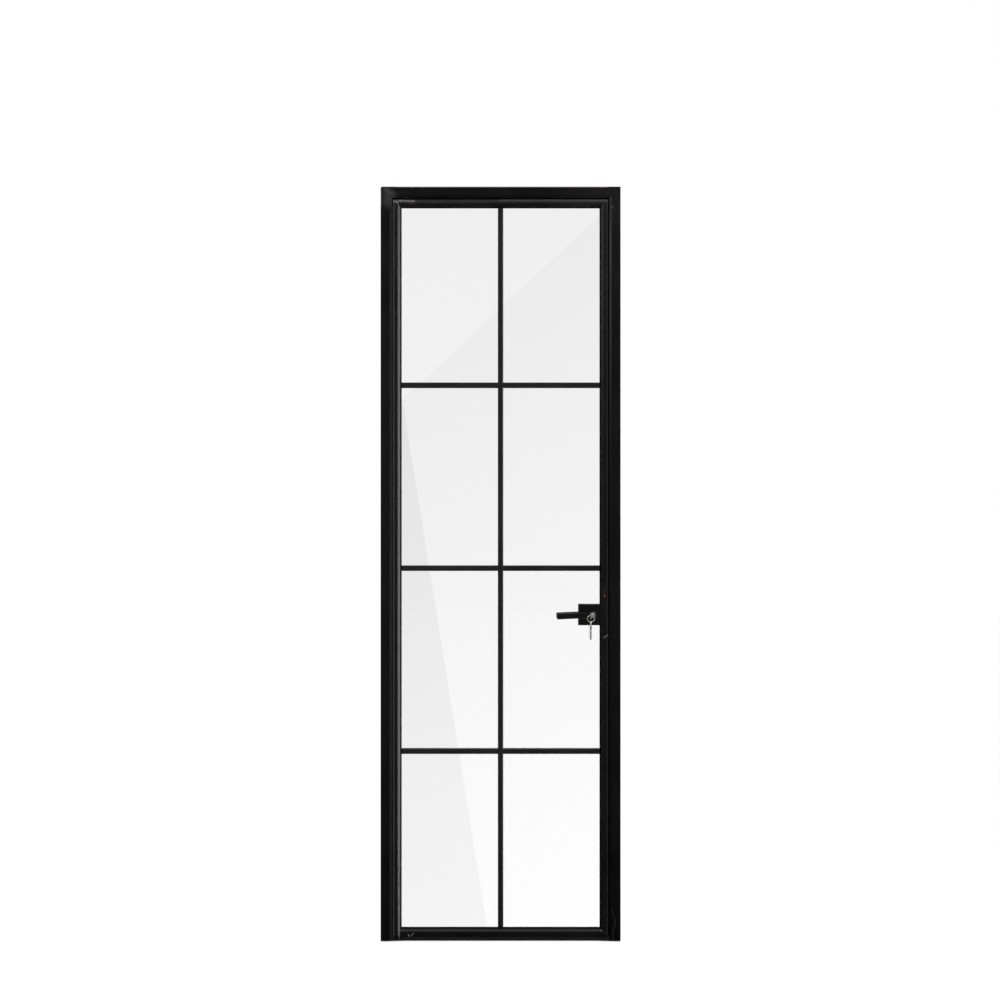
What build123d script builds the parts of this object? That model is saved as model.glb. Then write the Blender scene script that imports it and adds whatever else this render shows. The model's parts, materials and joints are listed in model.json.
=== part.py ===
"""A glazed door leaf in its frame, with sash bars on both faces and a lock let into the glass.

Millimetres. X runs across the door, Y from the outer (key) side to the inner side, Z up.
The origin is at floor level, in the middle of the whole object. The leaf hangs on the left
jamb and opens away from the key side.
"""

from build123d import *
import os

os.makedirs("parts", exist_ok=True)

# Door set
DOOR_WIDTH = 700
DOOR_HEIGHT = 2200
FRAME_DEPTH = 60

# Frame profile, measured in from its outer edge
REBATE_FACE = 24
STOP_NIB = 8
STOP_DEPTH = 22
FLAT_FACE = 25.5
SHADOW_LINE = 1.2
SHADOW_DEPTH = 2
LIP_EDGE = 0.6
LIP_FALL = 4
SKIN = 2
HARDWARE_WALL = 3.5
OUTER_RADIUS = 1
RUBBED_CORNER = 6
STOP_EDGE = REBATE_FACE + STOP_NIB

# Running gaps round the leaf
LEAF_GAP = 3
STOP_REVEAL = 3.5
FLOOR_GAP = 3
SEAL_GAP = 4

# Leaf profile, measured in from its outer edge
LEAF_RECESS = 14
SIGHT_WIDTH = 25
FACE_BEVEL = 7
BEVEL_FALL = 5
SEAL_SIGHT = 4
POCKET_DEPTH = 10
POCKET_WALL = 15
EDGE_RADIUS = 1.6
LEAF_DEPTH = FRAME_DEPTH - LEAF_RECESS
FLANGE = REBATE_FACE + LEAF_GAP
FLANGE_STEP = STOP_EDGE + STOP_REVEAL - FLANGE
PROFILE_WIDTH = FLANGE_STEP + SIGHT_WIDTH
LEG_END = PROFILE_WIDTH - SEAL_SIGHT
POCKET_FLOOR = LEG_END - POCKET_DEPTH
FLANGE_FRONT = STOP_DEPTH + SEAL_GAP - LEAF_RECESS

# Glass
GLASS_THICKNESS = 8
GLASS_BITE = 10

# Sash bars
BAR_WIDTH = 16
BAR_SETBACK = 6
BAR_CHAMFER = 2.4
BAR_PITCH = 535
BAR_MIDDLE_HEIGHT = 1086.5
BAR_END_GAP = 0.2

# Seals and small fittings
SEAL_FOOT = 3
SEAL_FOOT_DEPTH = 2.5
SEAL_EDGE = 1
SEAL_ROUND = 1.3
FIT = 0.1
TOUCH = 0.3
CLEAT_LEG = 60
CLEAT_CLEARANCE = 0.15
BLOCK_LENGTH = 80
BLOCK_WIDTH = 10
BLOCK_SPREAD = 400
SWEEP_SETBACK = 1
SWEEP_WIDTH = 12
SWEEP_CARRIER = 1.2
SWEEP_FIN = 4
SWEEP_CLEARANCE = 0.5

# Bead that holds the glass on the inner side
BEAD_TONGUE = 2.5
BEAD_TONGUE_DEPTH = 1.2
BEAD_TONGUE_SETBACK = 6
BEAD_CHAMFER = 3

# Screws
SHANK_RADIUS = 2
HEAD_RADIUS = 4
SCREW_LENGTH = 12
SCREW_CLEARANCE = 0.05

# Wall fixings through the jambs
FIXING_RADIUS = 4
ACCESS_RADIUS = 8
FIXING_END = 200
FIXING_BELOW_LOCK = 151

# Hinges
HINGE_END = 250
HINGE_LENGTH = 100
KNUCKLE_RADIUS = 7
KNUCKLE_CLEARANCE = 0.4
HINGE_PLATE = 22
HINGE_PLATE_THICKNESS = 4
PIN_RADIUS = 4
PIN_RUNNING_FIT = 0.05
PIN_CAP = 3
PIN_CAP_TAPER = 25
HINGE_SCREW_PITCH = 35

# Lock
LOCK_HEIGHT = 951
BACKSET = 57
COVER_REACH = 39.5
COVER_STEP = 4
COVER_HEIGHT = 62
COVER_WALL = 3
COVER_RADIUS = 2
COVER_GAP = 0.2
NOTCH_LAP = 7
NOTCH_RADIUS = 3
CASE_WALL = 2
CASE_CLEARANCE = 1
NECK_RADIUS = 10
LATCH_DEPTH = 29

# Latch
LATCH_TRAVEL = 11
BOLT_WIDTH = 11
BOLT_HEIGHT = 16
BOLT_LENGTH = 28
BOLT_TIP = 1.5
BOLT_BEVEL = 10
TUBE_RADIUS = 11
TUBE_WALL = 1
TUBE_PLATE = 1.5
FOREND_WIDTH = 22
FOREND_HEIGHT = 57
FOREND_THICKNESS = 2
FOREND_RADIUS = 3
FOREND_SCREW_PITCH = 45
STRIKE_HEIGHT = 80
STRIKE_SCREW_PITCH = 64
BOLT_HOLE_GAP = 0.5
STRIKE_HOLE_GAP = 1
BOX_DEPTH = 14
BOX_WALL = 1.5
TAIL_THICKNESS = 3
TAIL_HEIGHT = 14
YOKE_BAR = 3
YOKE_REACH_BACK = 14
YOKE_REACH_FORWARD = 18.5
YOKE_TOP = 14
YOKE_BOTTOM = 8
YOKE_TOOTH = 6
TOOTH_GAP = 0.5
HUB_RADIUS = 7
JOURNAL_RADIUS = 6
LOBE_WIDTH = 5
LOBE_REACH = 13
SPRING_RADIUS = 8.5
SPRING_WIRE = 0.8
SPRING_TURNS = 3.5

# Levers
LEVER_STAND = 36
LEVER_THICKNESS = 12
LEVER_HEIGHT = 16
LEVER_LENGTH = 113
LEVER_HEEL = 11
LEVER_EDGE = 1.5
LEVER_DROOP = 2.5
SPINDLE = 7
SPINDLE_REACH = 14

# Key plug, keys and ring
PLUG_RADIUS = 6.5
PLUG_LENGTH = 33
PLUG_PROUD = 0.6
PLUG_FIT = 0.05
KEYWAY_WIDTH = 2.4
KEYWAY_HEIGHT = 9
KEYWAY_DEPTH = 31
KEY_THICKNESS = 2
KEY_BLADE = 30
KEY_BLADE_HEIGHT = 8.4
KEY_NECK = 3
KEY_NECK_HEIGHT = 11
KEY_BOW_RADIUS = 11
KEY_HOLE_RADIUS = 2
KEY_HOLE_OFFSET = 7.5
KEY_CUTS = (1.6, 2.6, 1.2, 2.2, 1.8)
KEY_CUT_PITCH = 4.2
KEY_TILT = 25
SPARE_KEYS = 2
SPARE_KEY_GAP = 0.4
RING_RADIUS = 10.2
RING_WIRE = 2

# Turn button on the inner lever
BUTTON_SHAFT_RADIUS = 4
BUTTON_SHAFT_LENGTH = 24
BUTTON_LENGTH = 20
BUTTON_WIDTH = 9
BUTTON_REACH = 12

# Places worked out from the sizes above
LEVER_FRONT = LEVER_STAND + LEVER_THICKNESS
KEY_REACH = KEY_NECK + 2 * KEY_BOW_RADIUS + KEY_HOLE_OFFSET
OUTER_REACH = LEVER_FRONT + PLUG_PROUD + TOUCH + KEY_REACH - LEAF_RECESS
INNER_REACH = LEVER_FRONT + BUTTON_REACH
FRAME_FRONT = (OUTER_REACH - FRAME_DEPTH - INNER_REACH) / 2
FRAME_BACK = FRAME_FRONT + FRAME_DEPTH
LEAF_FRONT = FRAME_FRONT + LEAF_RECESS
LEAF_BACK = FRAME_BACK
LEAF_HALF = DOOR_WIDTH / 2 - FLANGE
LEAF_TOP = DOOR_HEIGHT - FLANGE
SIGHT_HALF = LEAF_HALF - PROFILE_WIDTH
SIGHT_TOP = LEAF_TOP - PROFILE_WIDTH
SIGHT_BOTTOM = FLOOR_GAP + PROFILE_WIDTH
GLASS_FRONT = (LEAF_FRONT + LEAF_BACK - GLASS_THICKNESS) / 2
GLASS_BACK = GLASS_FRONT + GLASS_THICKNESS
POCKET_END = LEAF_DEPTH - POCKET_WALL
PIVOT_X = LEAF_HALF - BACKSET
LATCH_Y = LEAF_FRONT + LATCH_DEPTH
HINGE_X = -LEAF_HALF - LEAF_GAP / 2
HINGE_Y = FRAME_BACK + KNUCKLE_RADIUS + TOUCH
FIXING_Y = FRAME_FRONT + (STOP_DEPTH + FRAME_DEPTH) / 2
LOCK_FIXING = LOCK_HEIGHT - FIXING_BELOW_LOCK
TOP_FIXING = DOOR_HEIGHT - FIXING_END
FIXING_HEIGHTS = [FIXING_END, LOCK_FIXING, (LOCK_FIXING + TOP_FIXING) / 2, TOP_FIXING]
HINGE_HEIGHTS = {"lower": HINGE_END, "middle": DOOR_HEIGHT / 2, "upper": DOOR_HEIGHT - HINGE_END}

# Places within the profiles, measured in from their outer edge and back from their face
SEAL_SLOT = (REBATE_FACE + (STOP_NIB - SEAL_FOOT) / 2, REBATE_FACE + (STOP_NIB + SEAL_FOOT) / 2)
GLAZING_SLOT = (POCKET_FLOOR + SEAL_FOOT, POCKET_FLOOR + 2 * SEAL_FOOT)
BEAD_GROOVE = (LEAF_DEPTH - BEAD_TONGUE_SETBACK - BEAD_TONGUE, LEAF_DEPTH - BEAD_TONGUE_SETBACK)
GLASS_EDGE = PROFILE_WIDTH - GLASS_BITE
GLASS_FROM = (LEAF_DEPTH - GLASS_THICKNESS) / 2
GLASS_TO = GLASS_FROM + GLASS_THICKNESS

FROM_TOP = (Align.CENTER, Align.CENTER, Align.MAX)
FROM_CORNER = (Align.MIN, Align.MIN)


def facing(y):
    """The upright plane at one depth, seen from the outer side: X across, Z up."""
    return Plane.XZ.offset(-y)


def area(across, back, mode=Mode.ADD):
    """A rectangle between two limits across and two limits back."""
    with Locations((across[0], back[0])):
        Rectangle(across[1] - across[0], back[1] - back[0], align=FROM_CORNER, mode=mode)


def drill_across(y, z, radius, x_from, x_to):
    """A round hole along X through the part in hand."""
    with BuildSketch(Plane.YZ.offset(x_from)) as outline:
        with Locations((y, z)):
            Circle(radius)
    extrude(outline.sketch, amount=x_to - x_from, mode=Mode.SUBTRACT)


def drill_back(x, z, radius, y_from, y_to):
    """A round hole along Y through the part in hand."""
    with BuildSketch(facing(y_from)) as outline:
        with Locations((x, z)):
            Circle(radius)
    extrude(outline.sketch, amount=y_from - y_to, mode=Mode.SUBTRACT)


def block(x, y, z, mode=Mode.ADD):
    """A plain box between two limits on each axis."""
    with BuildSketch(Plane.XY.offset(z[0])) as outline:
        area(x, y)
    extrude(outline.sketch, amount=z[1] - z[0], mode=mode)


def countersunk(places, length, clearance=0.0, mode=Mode.ADD):
    """Countersunk screws with their heads at these places, or the holes that they go into."""
    with Locations(*places):
        Cone(SHANK_RADIUS + clearance, HEAD_RADIUS + clearance, HEAD_RADIUS - SHANK_RADIUS,
             align=FROM_TOP, mode=mode)
        Cylinder(SHANK_RADIUS + clearance, length + clearance, align=FROM_TOP, mode=mode)


def screw_holes(places):
    """The holes for countersunk screws, with their running clearance."""
    countersunk(places, SCREW_LENGTH, SCREW_CLEARANCE, Mode.SUBTRACT)


def member(section, corner, inward, along, length, mitred=(True, True)):
    """One straight profile, drawn inward from its outer corner and mitred at its ends."""
    corner, inward, along = Vector(*corner), Vector(*inward), Vector(*along)
    with BuildPart() as run:
        with BuildSketch(Plane(origin=corner, x_dir=inward, z_dir=along)):
            add(section())
        extrude(amount=length)
        cuts = (Plane(origin=corner, z_dir=along - inward),
                Plane(origin=corner + along * length, z_dir=along * -1 - inward))
        for cut, wanted in zip(cuts, mitred):
            if wanted:
                split(bisect_by=cut, keep=Keep.TOP)
    return run.part


RIGHT, LEFT, UP, DOWN = (1, 0, 0), (-1, 0, 0), (0, 0, 1), (0, 0, -1)
HALF_WIDTH = DOOR_WIDTH / 2
LEAF_HEIGHT = LEAF_TOP - FLOOR_GAP
LEAF_WIDTH = 2 * LEAF_HALF

FRAME_RUNS = {
    "hinge": ((-HALF_WIDTH, FRAME_FRONT, 0), RIGHT, UP, DOOR_HEIGHT, (False, True)),
    "lock": ((HALF_WIDTH, FRAME_FRONT, DOOR_HEIGHT), LEFT, DOWN, DOOR_HEIGHT, (True, False)),
    "head": ((-HALF_WIDTH, FRAME_FRONT, DOOR_HEIGHT), DOWN, RIGHT, DOOR_WIDTH, (True, True)),
}
LEAF_RUNS = {
    "hinge": ((-LEAF_HALF, LEAF_FRONT, FLOOR_GAP), RIGHT, UP, LEAF_HEIGHT),
    "lock": ((LEAF_HALF, LEAF_FRONT, LEAF_TOP), LEFT, DOWN, LEAF_HEIGHT),
    "top": ((-LEAF_HALF, LEAF_FRONT, LEAF_TOP), DOWN, RIGHT, LEAF_WIDTH),
    "bottom": ((LEAF_HALF, LEAF_FRONT, FLOOR_GAP), UP, LEFT, LEAF_WIDTH),
}


def frame_section():
    """Frame extrusion: a tube, and a stop nib with a sloping lip behind a shadow line."""
    with BuildSketch() as section:
        lip = FLAT_FACE + SHADOW_LINE
        with BuildLine():
            Polyline((0, 0), (FLAT_FACE, 0), (FLAT_FACE, SHADOW_DEPTH), (lip, SHADOW_DEPTH),
                     (lip, LIP_EDGE), (STOP_EDGE, LIP_FALL), (STOP_EDGE, STOP_DEPTH),
                     (REBATE_FACE, STOP_DEPTH), (REBATE_FACE, FRAME_DEPTH), (0, FRAME_DEPTH),
                     close=True)
        make_face()
        outer = [corner for corner in vertices() if corner.X < OUTER_RADIUS / 2]
        fillet(outer, OUTER_RADIUS)
        area((SKIN, REBATE_FACE - HARDWARE_WALL), (SKIN, FRAME_DEPTH - SKIN), Mode.SUBTRACT)
        area((REBATE_FACE, STOP_EDGE - SKIN),
             (LIP_FALL + SKIN, STOP_DEPTH - SEAL_FOOT_DEPTH - SKIN), Mode.SUBTRACT)
        area(SEAL_SLOT, (STOP_DEPTH - SEAL_FOOT_DEPTH, STOP_DEPTH), Mode.SUBTRACT)
    return section.sketch


def frame_seal_section():
    """Stop seal: a foot in the stop's slot and a rounded lip that the leaf closes against."""
    with BuildSketch() as section:
        area((SEAL_SLOT[0] + FIT, SEAL_SLOT[1] - FIT),
             (STOP_DEPTH - SEAL_FOOT_DEPTH + FIT, STOP_DEPTH))
        area((REBATE_FACE + SEAL_EDGE, STOP_EDGE - SEAL_EDGE),
             (STOP_DEPTH, STOP_DEPTH + SEAL_GAP - TOUCH))
        lip = [corner for corner in vertices() if corner.Y > STOP_DEPTH + SEAL_EDGE]
        fillet(lip, SEAL_ROUND)
    return section.sketch


def leaf_section():
    """Leaf extrusion: a tube with a flange behind the stop, and a bevelled leg over the glass."""
    with BuildSketch() as section:
        with BuildLine():
            Polyline((FLANGE_STEP, 0), (LEG_END - FACE_BEVEL, 0), (LEG_END, BEVEL_FALL),
                     (LEG_END, POCKET_WALL), (POCKET_FLOOR, POCKET_WALL),
                     (POCKET_FLOOR, LEAF_DEPTH), (0, LEAF_DEPTH), (0, FLANGE_FRONT),
                     (FLANGE_STEP, FLANGE_FRONT), close=True)
        make_face()
        fillet(vertices().sort_by_distance((FLANGE_STEP, 0))[0], EDGE_RADIUS)
        area((HARDWARE_WALL, POCKET_FLOOR - SKIN), (FLANGE_FRONT + SKIN, LEAF_DEPTH - SKIN),
             Mode.SUBTRACT)
        with BuildLine():
            Polyline((FLANGE_STEP + SKIN, SKIN), (LEG_END - FACE_BEVEL - SKIN / 2, SKIN),
                     (LEG_END - SKIN, BEVEL_FALL + SKIN / 2), (LEG_END - SKIN, FLANGE_FRONT - SKIN),
                     (FLANGE_STEP + SKIN, FLANGE_FRONT - SKIN), close=True)
        make_face(mode=Mode.SUBTRACT)
        area(GLAZING_SLOT, (POCKET_WALL - SEAL_FOOT_DEPTH, POCKET_WALL), Mode.SUBTRACT)
        area((POCKET_FLOOR - BEAD_TONGUE_DEPTH, POCKET_FLOOR), BEAD_GROOVE, Mode.SUBTRACT)
    return section.sketch


def outer_seal_section():
    """Glazing seal on the key side, with a foot in the leg and a sloping sight lip."""
    with BuildSketch() as section:
        area((GLAZING_SLOT[0] + FIT, GLAZING_SLOT[1] - FIT),
             (POCKET_WALL - SEAL_FOOT_DEPTH + FIT, POCKET_WALL))
        with BuildLine():
            Polyline((GLASS_EDGE, POCKET_WALL), (LEG_END, POCKET_WALL),
                     (LEG_END, BEVEL_FALL + SKIN),
                     (PROFILE_WIDTH - SEAL_EDGE, POCKET_WALL - SEAL_SIGHT),
                     (PROFILE_WIDTH, GLASS_FROM), (GLASS_EDGE, GLASS_FROM), close=True)
        make_face()
    return section.sketch


def bead_section():
    """Glazing bead on the inner side, with a tongue that snaps into the leaf profile."""
    with BuildSketch() as section:
        with BuildLine():
            Polyline((POCKET_FLOOR, POCKET_END), (LEG_END, POCKET_END),
                     (LEG_END, LEAF_DEPTH - BEAD_CHAMFER), (LEG_END - BEAD_CHAMFER, LEAF_DEPTH),
                     (POCKET_FLOOR, LEAF_DEPTH), close=True)
        make_face()
        area((POCKET_FLOOR + SKIN, LEG_END - SKIN),
             (POCKET_END + SKIN, LEAF_DEPTH - BEAD_CHAMFER - SKIN), Mode.SUBTRACT)
        area((POCKET_FLOOR - BEAD_TONGUE_DEPTH + FIT, POCKET_FLOOR),
             (BEAD_GROOVE[0] + FIT, BEAD_GROOVE[1] - FIT))
    return section.sketch


def inner_seal_section():
    """Wedge seal between the glass and the bead."""
    with BuildSketch() as section:
        with BuildLine():
            Polyline((GLASS_EDGE, GLASS_TO), (PROFILE_WIDTH, GLASS_TO),
                     (PROFILE_WIDTH - SEAL_EDGE, POCKET_END + SEAL_SIGHT),
                     (LEG_END, POCKET_END + SKIN), (LEG_END, POCKET_END),
                     (GLASS_EDGE, POCKET_END), close=True)
        make_face()
    return section.sketch


# Where the lock interrupts the profiles beside it
COVER_LEFT = PIVOT_X - COVER_REACH
COVER_HALF = COVER_HEIGHT / 2
LOCK_BAND = (LOCK_HEIGHT - COVER_HALF, LOCK_HEIGHT + COVER_HALF)
LEG_X = LEAF_HALF - LEG_END
TUBE_WALL_X = LEAF_HALF - POCKET_FLOOR


def lock_gap():
    """Clears seals and beads from the height of the lock on the lock side."""
    block((LEAF_HALF - PROFILE_WIDTH - POCKET_DEPTH, LEAF_HALF), (LEAF_FRONT, LEAF_BACK),
          LOCK_BAND, Mode.SUBTRACT)


# Places of the screw heads, each plane facing out of the surface the head sits in
def hinge_screws(x, z):
    """Three screws down one hinge plate."""
    back = FRAME_BACK + HINGE_PLATE_THICKNESS
    steps = (-HINGE_SCREW_PITCH, 0, HINGE_SCREW_PITCH)
    return [Plane(origin=(x, back, z + step), z_dir=(0, 1, 0)) for step in steps]


def pair(x, y, pitch):
    """Two screws above and below the latch, facing the gap between leaf and jamb."""
    facing_gap = RIGHT if x < HALF_WIDTH - FLANGE + LEAF_GAP / 2 else LEFT
    return [Plane(origin=(x, y, LOCK_HEIGHT + step), z_dir=facing_gap)
            for step in (-pitch / 2, pitch / 2)]


HINGE_SCREW_X = HINGE_PLATE / 2 + LEAF_GAP / 2
FRAME_HINGE_SCREWS = [place for z in HINGE_HEIGHTS.values()
                      for place in hinge_screws(HINGE_X - HINGE_SCREW_X, z)]
LEAF_HINGE_SCREWS = [place for z in HINGE_HEIGHTS.values()
                     for place in hinge_screws(HINGE_X + HINGE_SCREW_X, z)]
STRIKE_X = HALF_WIDTH - REBATE_FACE
STRIKE_SCREWS = pair(STRIKE_X, LATCH_Y, STRIKE_SCREW_PITCH)
FOREND_SCREWS = pair(LEAF_HALF, LATCH_Y, FOREND_SCREW_PITCH)


def wall_fixings(x_outer, toward):
    """Screw holes through a jamb's outer wall, and wider access holes through its rebate wall."""
    rebate = x_outer + toward * REBATE_FACE
    for z in FIXING_HEIGHTS:
        drill_across(FIXING_Y, z, FIXING_RADIUS, *sorted((x_outer, x_outer + toward * SKIN)))
        drill_across(FIXING_Y, z, ACCESS_RADIUS, *sorted((rebate, rebate - toward * HARDWARE_WALL)))


def plate_outline(y, height, growth=0.0):
    """The rounded outline that the forend and strike plates share."""
    with Locations((y, LOCK_HEIGHT)):
        RectangleRounded(FOREND_WIDTH + 2 * growth, height + 2 * growth, FOREND_RADIUS)


def plate_recess(x_from, x_to, height):
    """The recess that a forend or strike plate lies flush in."""
    with BuildSketch(Plane.YZ.offset(x_from)) as outline:
        plate_outline(LATCH_Y, height, FIT)
    extrude(outline.sketch, amount=x_to - x_from, mode=Mode.SUBTRACT)


def bolt_opening(x_from, x_to, gap):
    """A rectangular hole that the latch bolt slides through."""
    with BuildSketch(Plane.YZ.offset(x_from)) as outline:
        with Locations((LATCH_Y, LOCK_HEIGHT)):
            Rectangle(BOLT_WIDTH + 2 * gap, BOLT_HEIGHT + 2 * gap)
    extrude(outline.sketch, amount=x_to - x_from, mode=Mode.SUBTRACT)


# Frame
def rubbed_corner():
    """What is rubbed off the frame's top corner on the hinge side."""
    with BuildPart() as waste:
        with BuildSketch(facing(FRAME_FRONT)):
            with Locations((-HALF_WIDTH, DOOR_HEIGHT)):
                Rectangle(2 * RUBBED_CORNER, 2 * RUBBED_CORNER)
            with Locations((RUBBED_CORNER - HALF_WIDTH, DOOR_HEIGHT - RUBBED_CORNER)):
                Circle(RUBBED_CORNER, mode=Mode.SUBTRACT)
        extrude(amount=-FRAME_DEPTH)
    return waste.part


with BuildPart() as hinge_jamb:
    add(member(frame_section, *FRAME_RUNS["hinge"]))
    wall_fixings(-HALF_WIDTH, 1)
    screw_holes(FRAME_HINGE_SCREWS)
    add(rubbed_corner(), mode=Mode.SUBTRACT)

with BuildPart() as lock_jamb:
    add(member(frame_section, *FRAME_RUNS["lock"]))
    wall_fixings(HALF_WIDTH, -1)
    plate_recess(STRIKE_X, STRIKE_X + FOREND_THICKNESS, STRIKE_HEIGHT)
    bolt_opening(STRIKE_X, STRIKE_X + HARDWARE_WALL, STRIKE_HOLE_GAP + BOX_WALL)
    screw_holes(STRIKE_SCREWS)

with BuildPart() as head_jamb:
    add(member(frame_section, *FRAME_RUNS["head"]))
    add(rubbed_corner(), mode=Mode.SUBTRACT)


def cleat(corner_x, corner_z, across, up, profile, back):
    """An angle that fits the hollow of two profiles and joins them at a mitred corner."""
    near, far = profile[0] + CLEAT_CLEARANCE, profile[1] - CLEAT_CLEARANCE
    with BuildSketch(facing(back[0] + CLEAT_CLEARANCE)) as outline:
        with BuildLine():
            Polyline(*[(corner_x + across * a, corner_z + up * b) for a, b in (
                (near, near), (CLEAT_LEG, near), (CLEAT_LEG, far), (far, far),
                (far, CLEAT_LEG), (near, CLEAT_LEG))], close=True)
        make_face()
    extrude(outline.sketch, amount=back[0] - back[1] + 2 * CLEAT_CLEARANCE)


with BuildPart() as frame_corner_cleats:
    for side in (-1, 1):
        cleat(side * HALF_WIDTH, DOOR_HEIGHT, -side, -1, (SKIN, REBATE_FACE - HARDWARE_WALL),
              (FRAME_FRONT + SKIN, FRAME_BACK - SKIN))

with BuildPart() as frame_seal:
    for run in FRAME_RUNS.values():
        add(member(frame_seal_section, *run))

with BuildPart() as fixing_hole_caps:
    for side in (-1, 1):
        face = side * (HALF_WIDTH - REBATE_FACE)
        with Locations(*[Plane(origin=(face, FIXING_Y, z), z_dir=(-side, 0, 0))
                         for z in FIXING_HEIGHTS]):
            Cylinder(ACCESS_RADIUS - SCREW_CLEARANCE, HARDWARE_WALL, align=FROM_TOP)

with BuildPart() as strike_plate:
    with BuildSketch(Plane.YZ.offset(STRIKE_X)):
        plate_outline(LATCH_Y, STRIKE_HEIGHT)
    extrude(amount=FOREND_THICKNESS)
    bolt_opening(STRIKE_X, STRIKE_X + FOREND_THICKNESS, STRIKE_HOLE_GAP)
    screw_holes(STRIKE_SCREWS)

with BuildPart() as strike_box:
    BOX_GAP = STRIKE_HOLE_GAP + BOX_WALL - FIT
    inner_x = STRIKE_X + FOREND_THICKNESS
    with BuildSketch(Plane.YZ.offset(inner_x)):
        with Locations((LATCH_Y, LOCK_HEIGHT)):
            Rectangle(BOLT_WIDTH + 2 * BOX_GAP, BOLT_HEIGHT + 2 * BOX_GAP)
    extrude(amount=BOX_DEPTH)
    bolt_opening(inner_x, inner_x + BOX_DEPTH - BOX_WALL, STRIKE_HOLE_GAP)


# Hinges: two knuckles on the frame plate, one between them on the leaf plate
def hinge_half(height, side):
    """One plate with its knuckles: side -1 is screwed to the jamb, side 1 to the leaf."""
    bottom = height - HINGE_LENGTH / 2
    third = HINGE_LENGTH / 3
    near, far = side * LEAF_GAP / 2, side * (LEAF_GAP / 2 + HINGE_PLATE)
    with BuildPart() as half:
        with BuildSketch(Plane.XY.offset(bottom)):
            area(sorted((HINGE_X + near, HINGE_X + far)),
                 (FRAME_BACK, FRAME_BACK + HINGE_PLATE_THICKNESS))
            with Locations((HINGE_X, HINGE_Y)):
                Circle(KNUCKLE_RADIUS)
        extrude(amount=HINGE_LENGTH)
        freed = [(third, 2 * third)] if side < 0 else [(0, third), (2 * third, HINGE_LENGTH)]
        for low, high in freed:
            ends = TOUCH if side < 0 else 0
            with BuildSketch(Plane.XY.offset(bottom + low - ends)):
                with Locations((HINGE_X, HINGE_Y)):
                    Circle(KNUCKLE_RADIUS + KNUCKLE_CLEARANCE)
            extrude(amount=high - low + 2 * ends, mode=Mode.SUBTRACT)
        with BuildSketch(Plane.XY.offset(bottom)):
            with Locations((HINGE_X, HINGE_Y)):
                Circle(PIN_RADIUS + PIN_RUNNING_FIT)
        extrude(amount=HINGE_LENGTH, mode=Mode.SUBTRACT)
        screw_holes(FRAME_HINGE_SCREWS if side < 0 else LEAF_HINGE_SCREWS)
        edges_out = half.edges().filter_by(Axis.Z).group_by(Axis.X)[0 if side < 0 else -1]
        fillet(edges_out, OUTER_RADIUS)
    return half


with BuildPart() as hinge_pins:
    for height in HINGE_HEIGHTS.values():
        with BuildSketch(Plane.XY.offset(height - HINGE_LENGTH / 2)):
            with Locations((HINGE_X, HINGE_Y)):
                Circle(PIN_RADIUS)
        extrude(amount=HINGE_LENGTH)
        for end, outward in ((HINGE_LENGTH / 2, 1), (-HINGE_LENGTH / 2, -1)):
            cap = Plane(origin=(HINGE_X, HINGE_Y, height + end), z_dir=(0, 0, outward))
            with BuildSketch(cap):
                Circle(KNUCKLE_RADIUS)
            extrude(amount=PIN_CAP, taper=PIN_CAP_TAPER)

with BuildPart() as frame_screws:
    countersunk(FRAME_HINGE_SCREWS + STRIKE_SCREWS, SCREW_LENGTH)

# Leaf
with BuildPart() as hinge_stile:
    add(member(leaf_section, *LEAF_RUNS["hinge"]))
    screw_holes(LEAF_HINGE_SCREWS)

with BuildPart() as lock_stile:
    add(member(leaf_section, *LEAF_RUNS["lock"]))
    plate_recess(LEAF_HALF, LEAF_HALF - FOREND_THICKNESS, FOREND_HEIGHT)
    drill_across(LATCH_Y, LOCK_HEIGHT, TUBE_RADIUS + FIT, TUBE_WALL_X - SKIN, LEAF_HALF)
    screw_holes(FOREND_SCREWS)

with BuildPart() as top_rail:
    add(member(leaf_section, *LEAF_RUNS["top"]))

with BuildPart() as bottom_rail:
    add(member(leaf_section, *LEAF_RUNS["bottom"]))

with BuildPart() as leaf_corner_cleats:
    for side in (-1, 1):
        for corner_z, up in ((LEAF_TOP, -1), (FLOOR_GAP, 1)):
            cleat(side * LEAF_HALF, corner_z, -side, up, (HARDWARE_WALL, POCKET_FLOOR - SKIN),
                  (LEAF_FRONT + FLANGE_FRONT + SKIN, LEAF_BACK - SKIN))

with BuildPart() as outer_glazing_seal:
    for run in LEAF_RUNS.values():
        add(member(outer_seal_section, *run))
    lock_gap()

with BuildPart() as inner_glazing_seal:
    for run in LEAF_RUNS.values():
        add(member(inner_seal_section, *run))
    lock_gap()

beads = {}
for side, run in LEAF_RUNS.items():
    with BuildPart() as beads[side]:
        add(member(bead_section, *run))
        if side == "lock":
            lock_gap()

GLASS_HALF = SIGHT_HALF + GLASS_BITE
NOTCH_HALF = COVER_HALF - NOTCH_LAP
with BuildPart() as glass_pane:
    with BuildSketch(facing(GLASS_FRONT)):
        area((-GLASS_HALF, GLASS_HALF), (SIGHT_BOTTOM - GLASS_BITE, SIGHT_TOP + GLASS_BITE))
        area((COVER_LEFT + NOTCH_LAP, GLASS_HALF),
             (LOCK_HEIGHT - NOTCH_HALF, LOCK_HEIGHT + NOTCH_HALF), Mode.SUBTRACT)
        inner = vertices().sort_by_distance((COVER_LEFT + NOTCH_LAP, LOCK_HEIGHT))[:2]
        fillet(inner, NOTCH_RADIUS)
    extrude(amount=-GLASS_THICKNESS)

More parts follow.
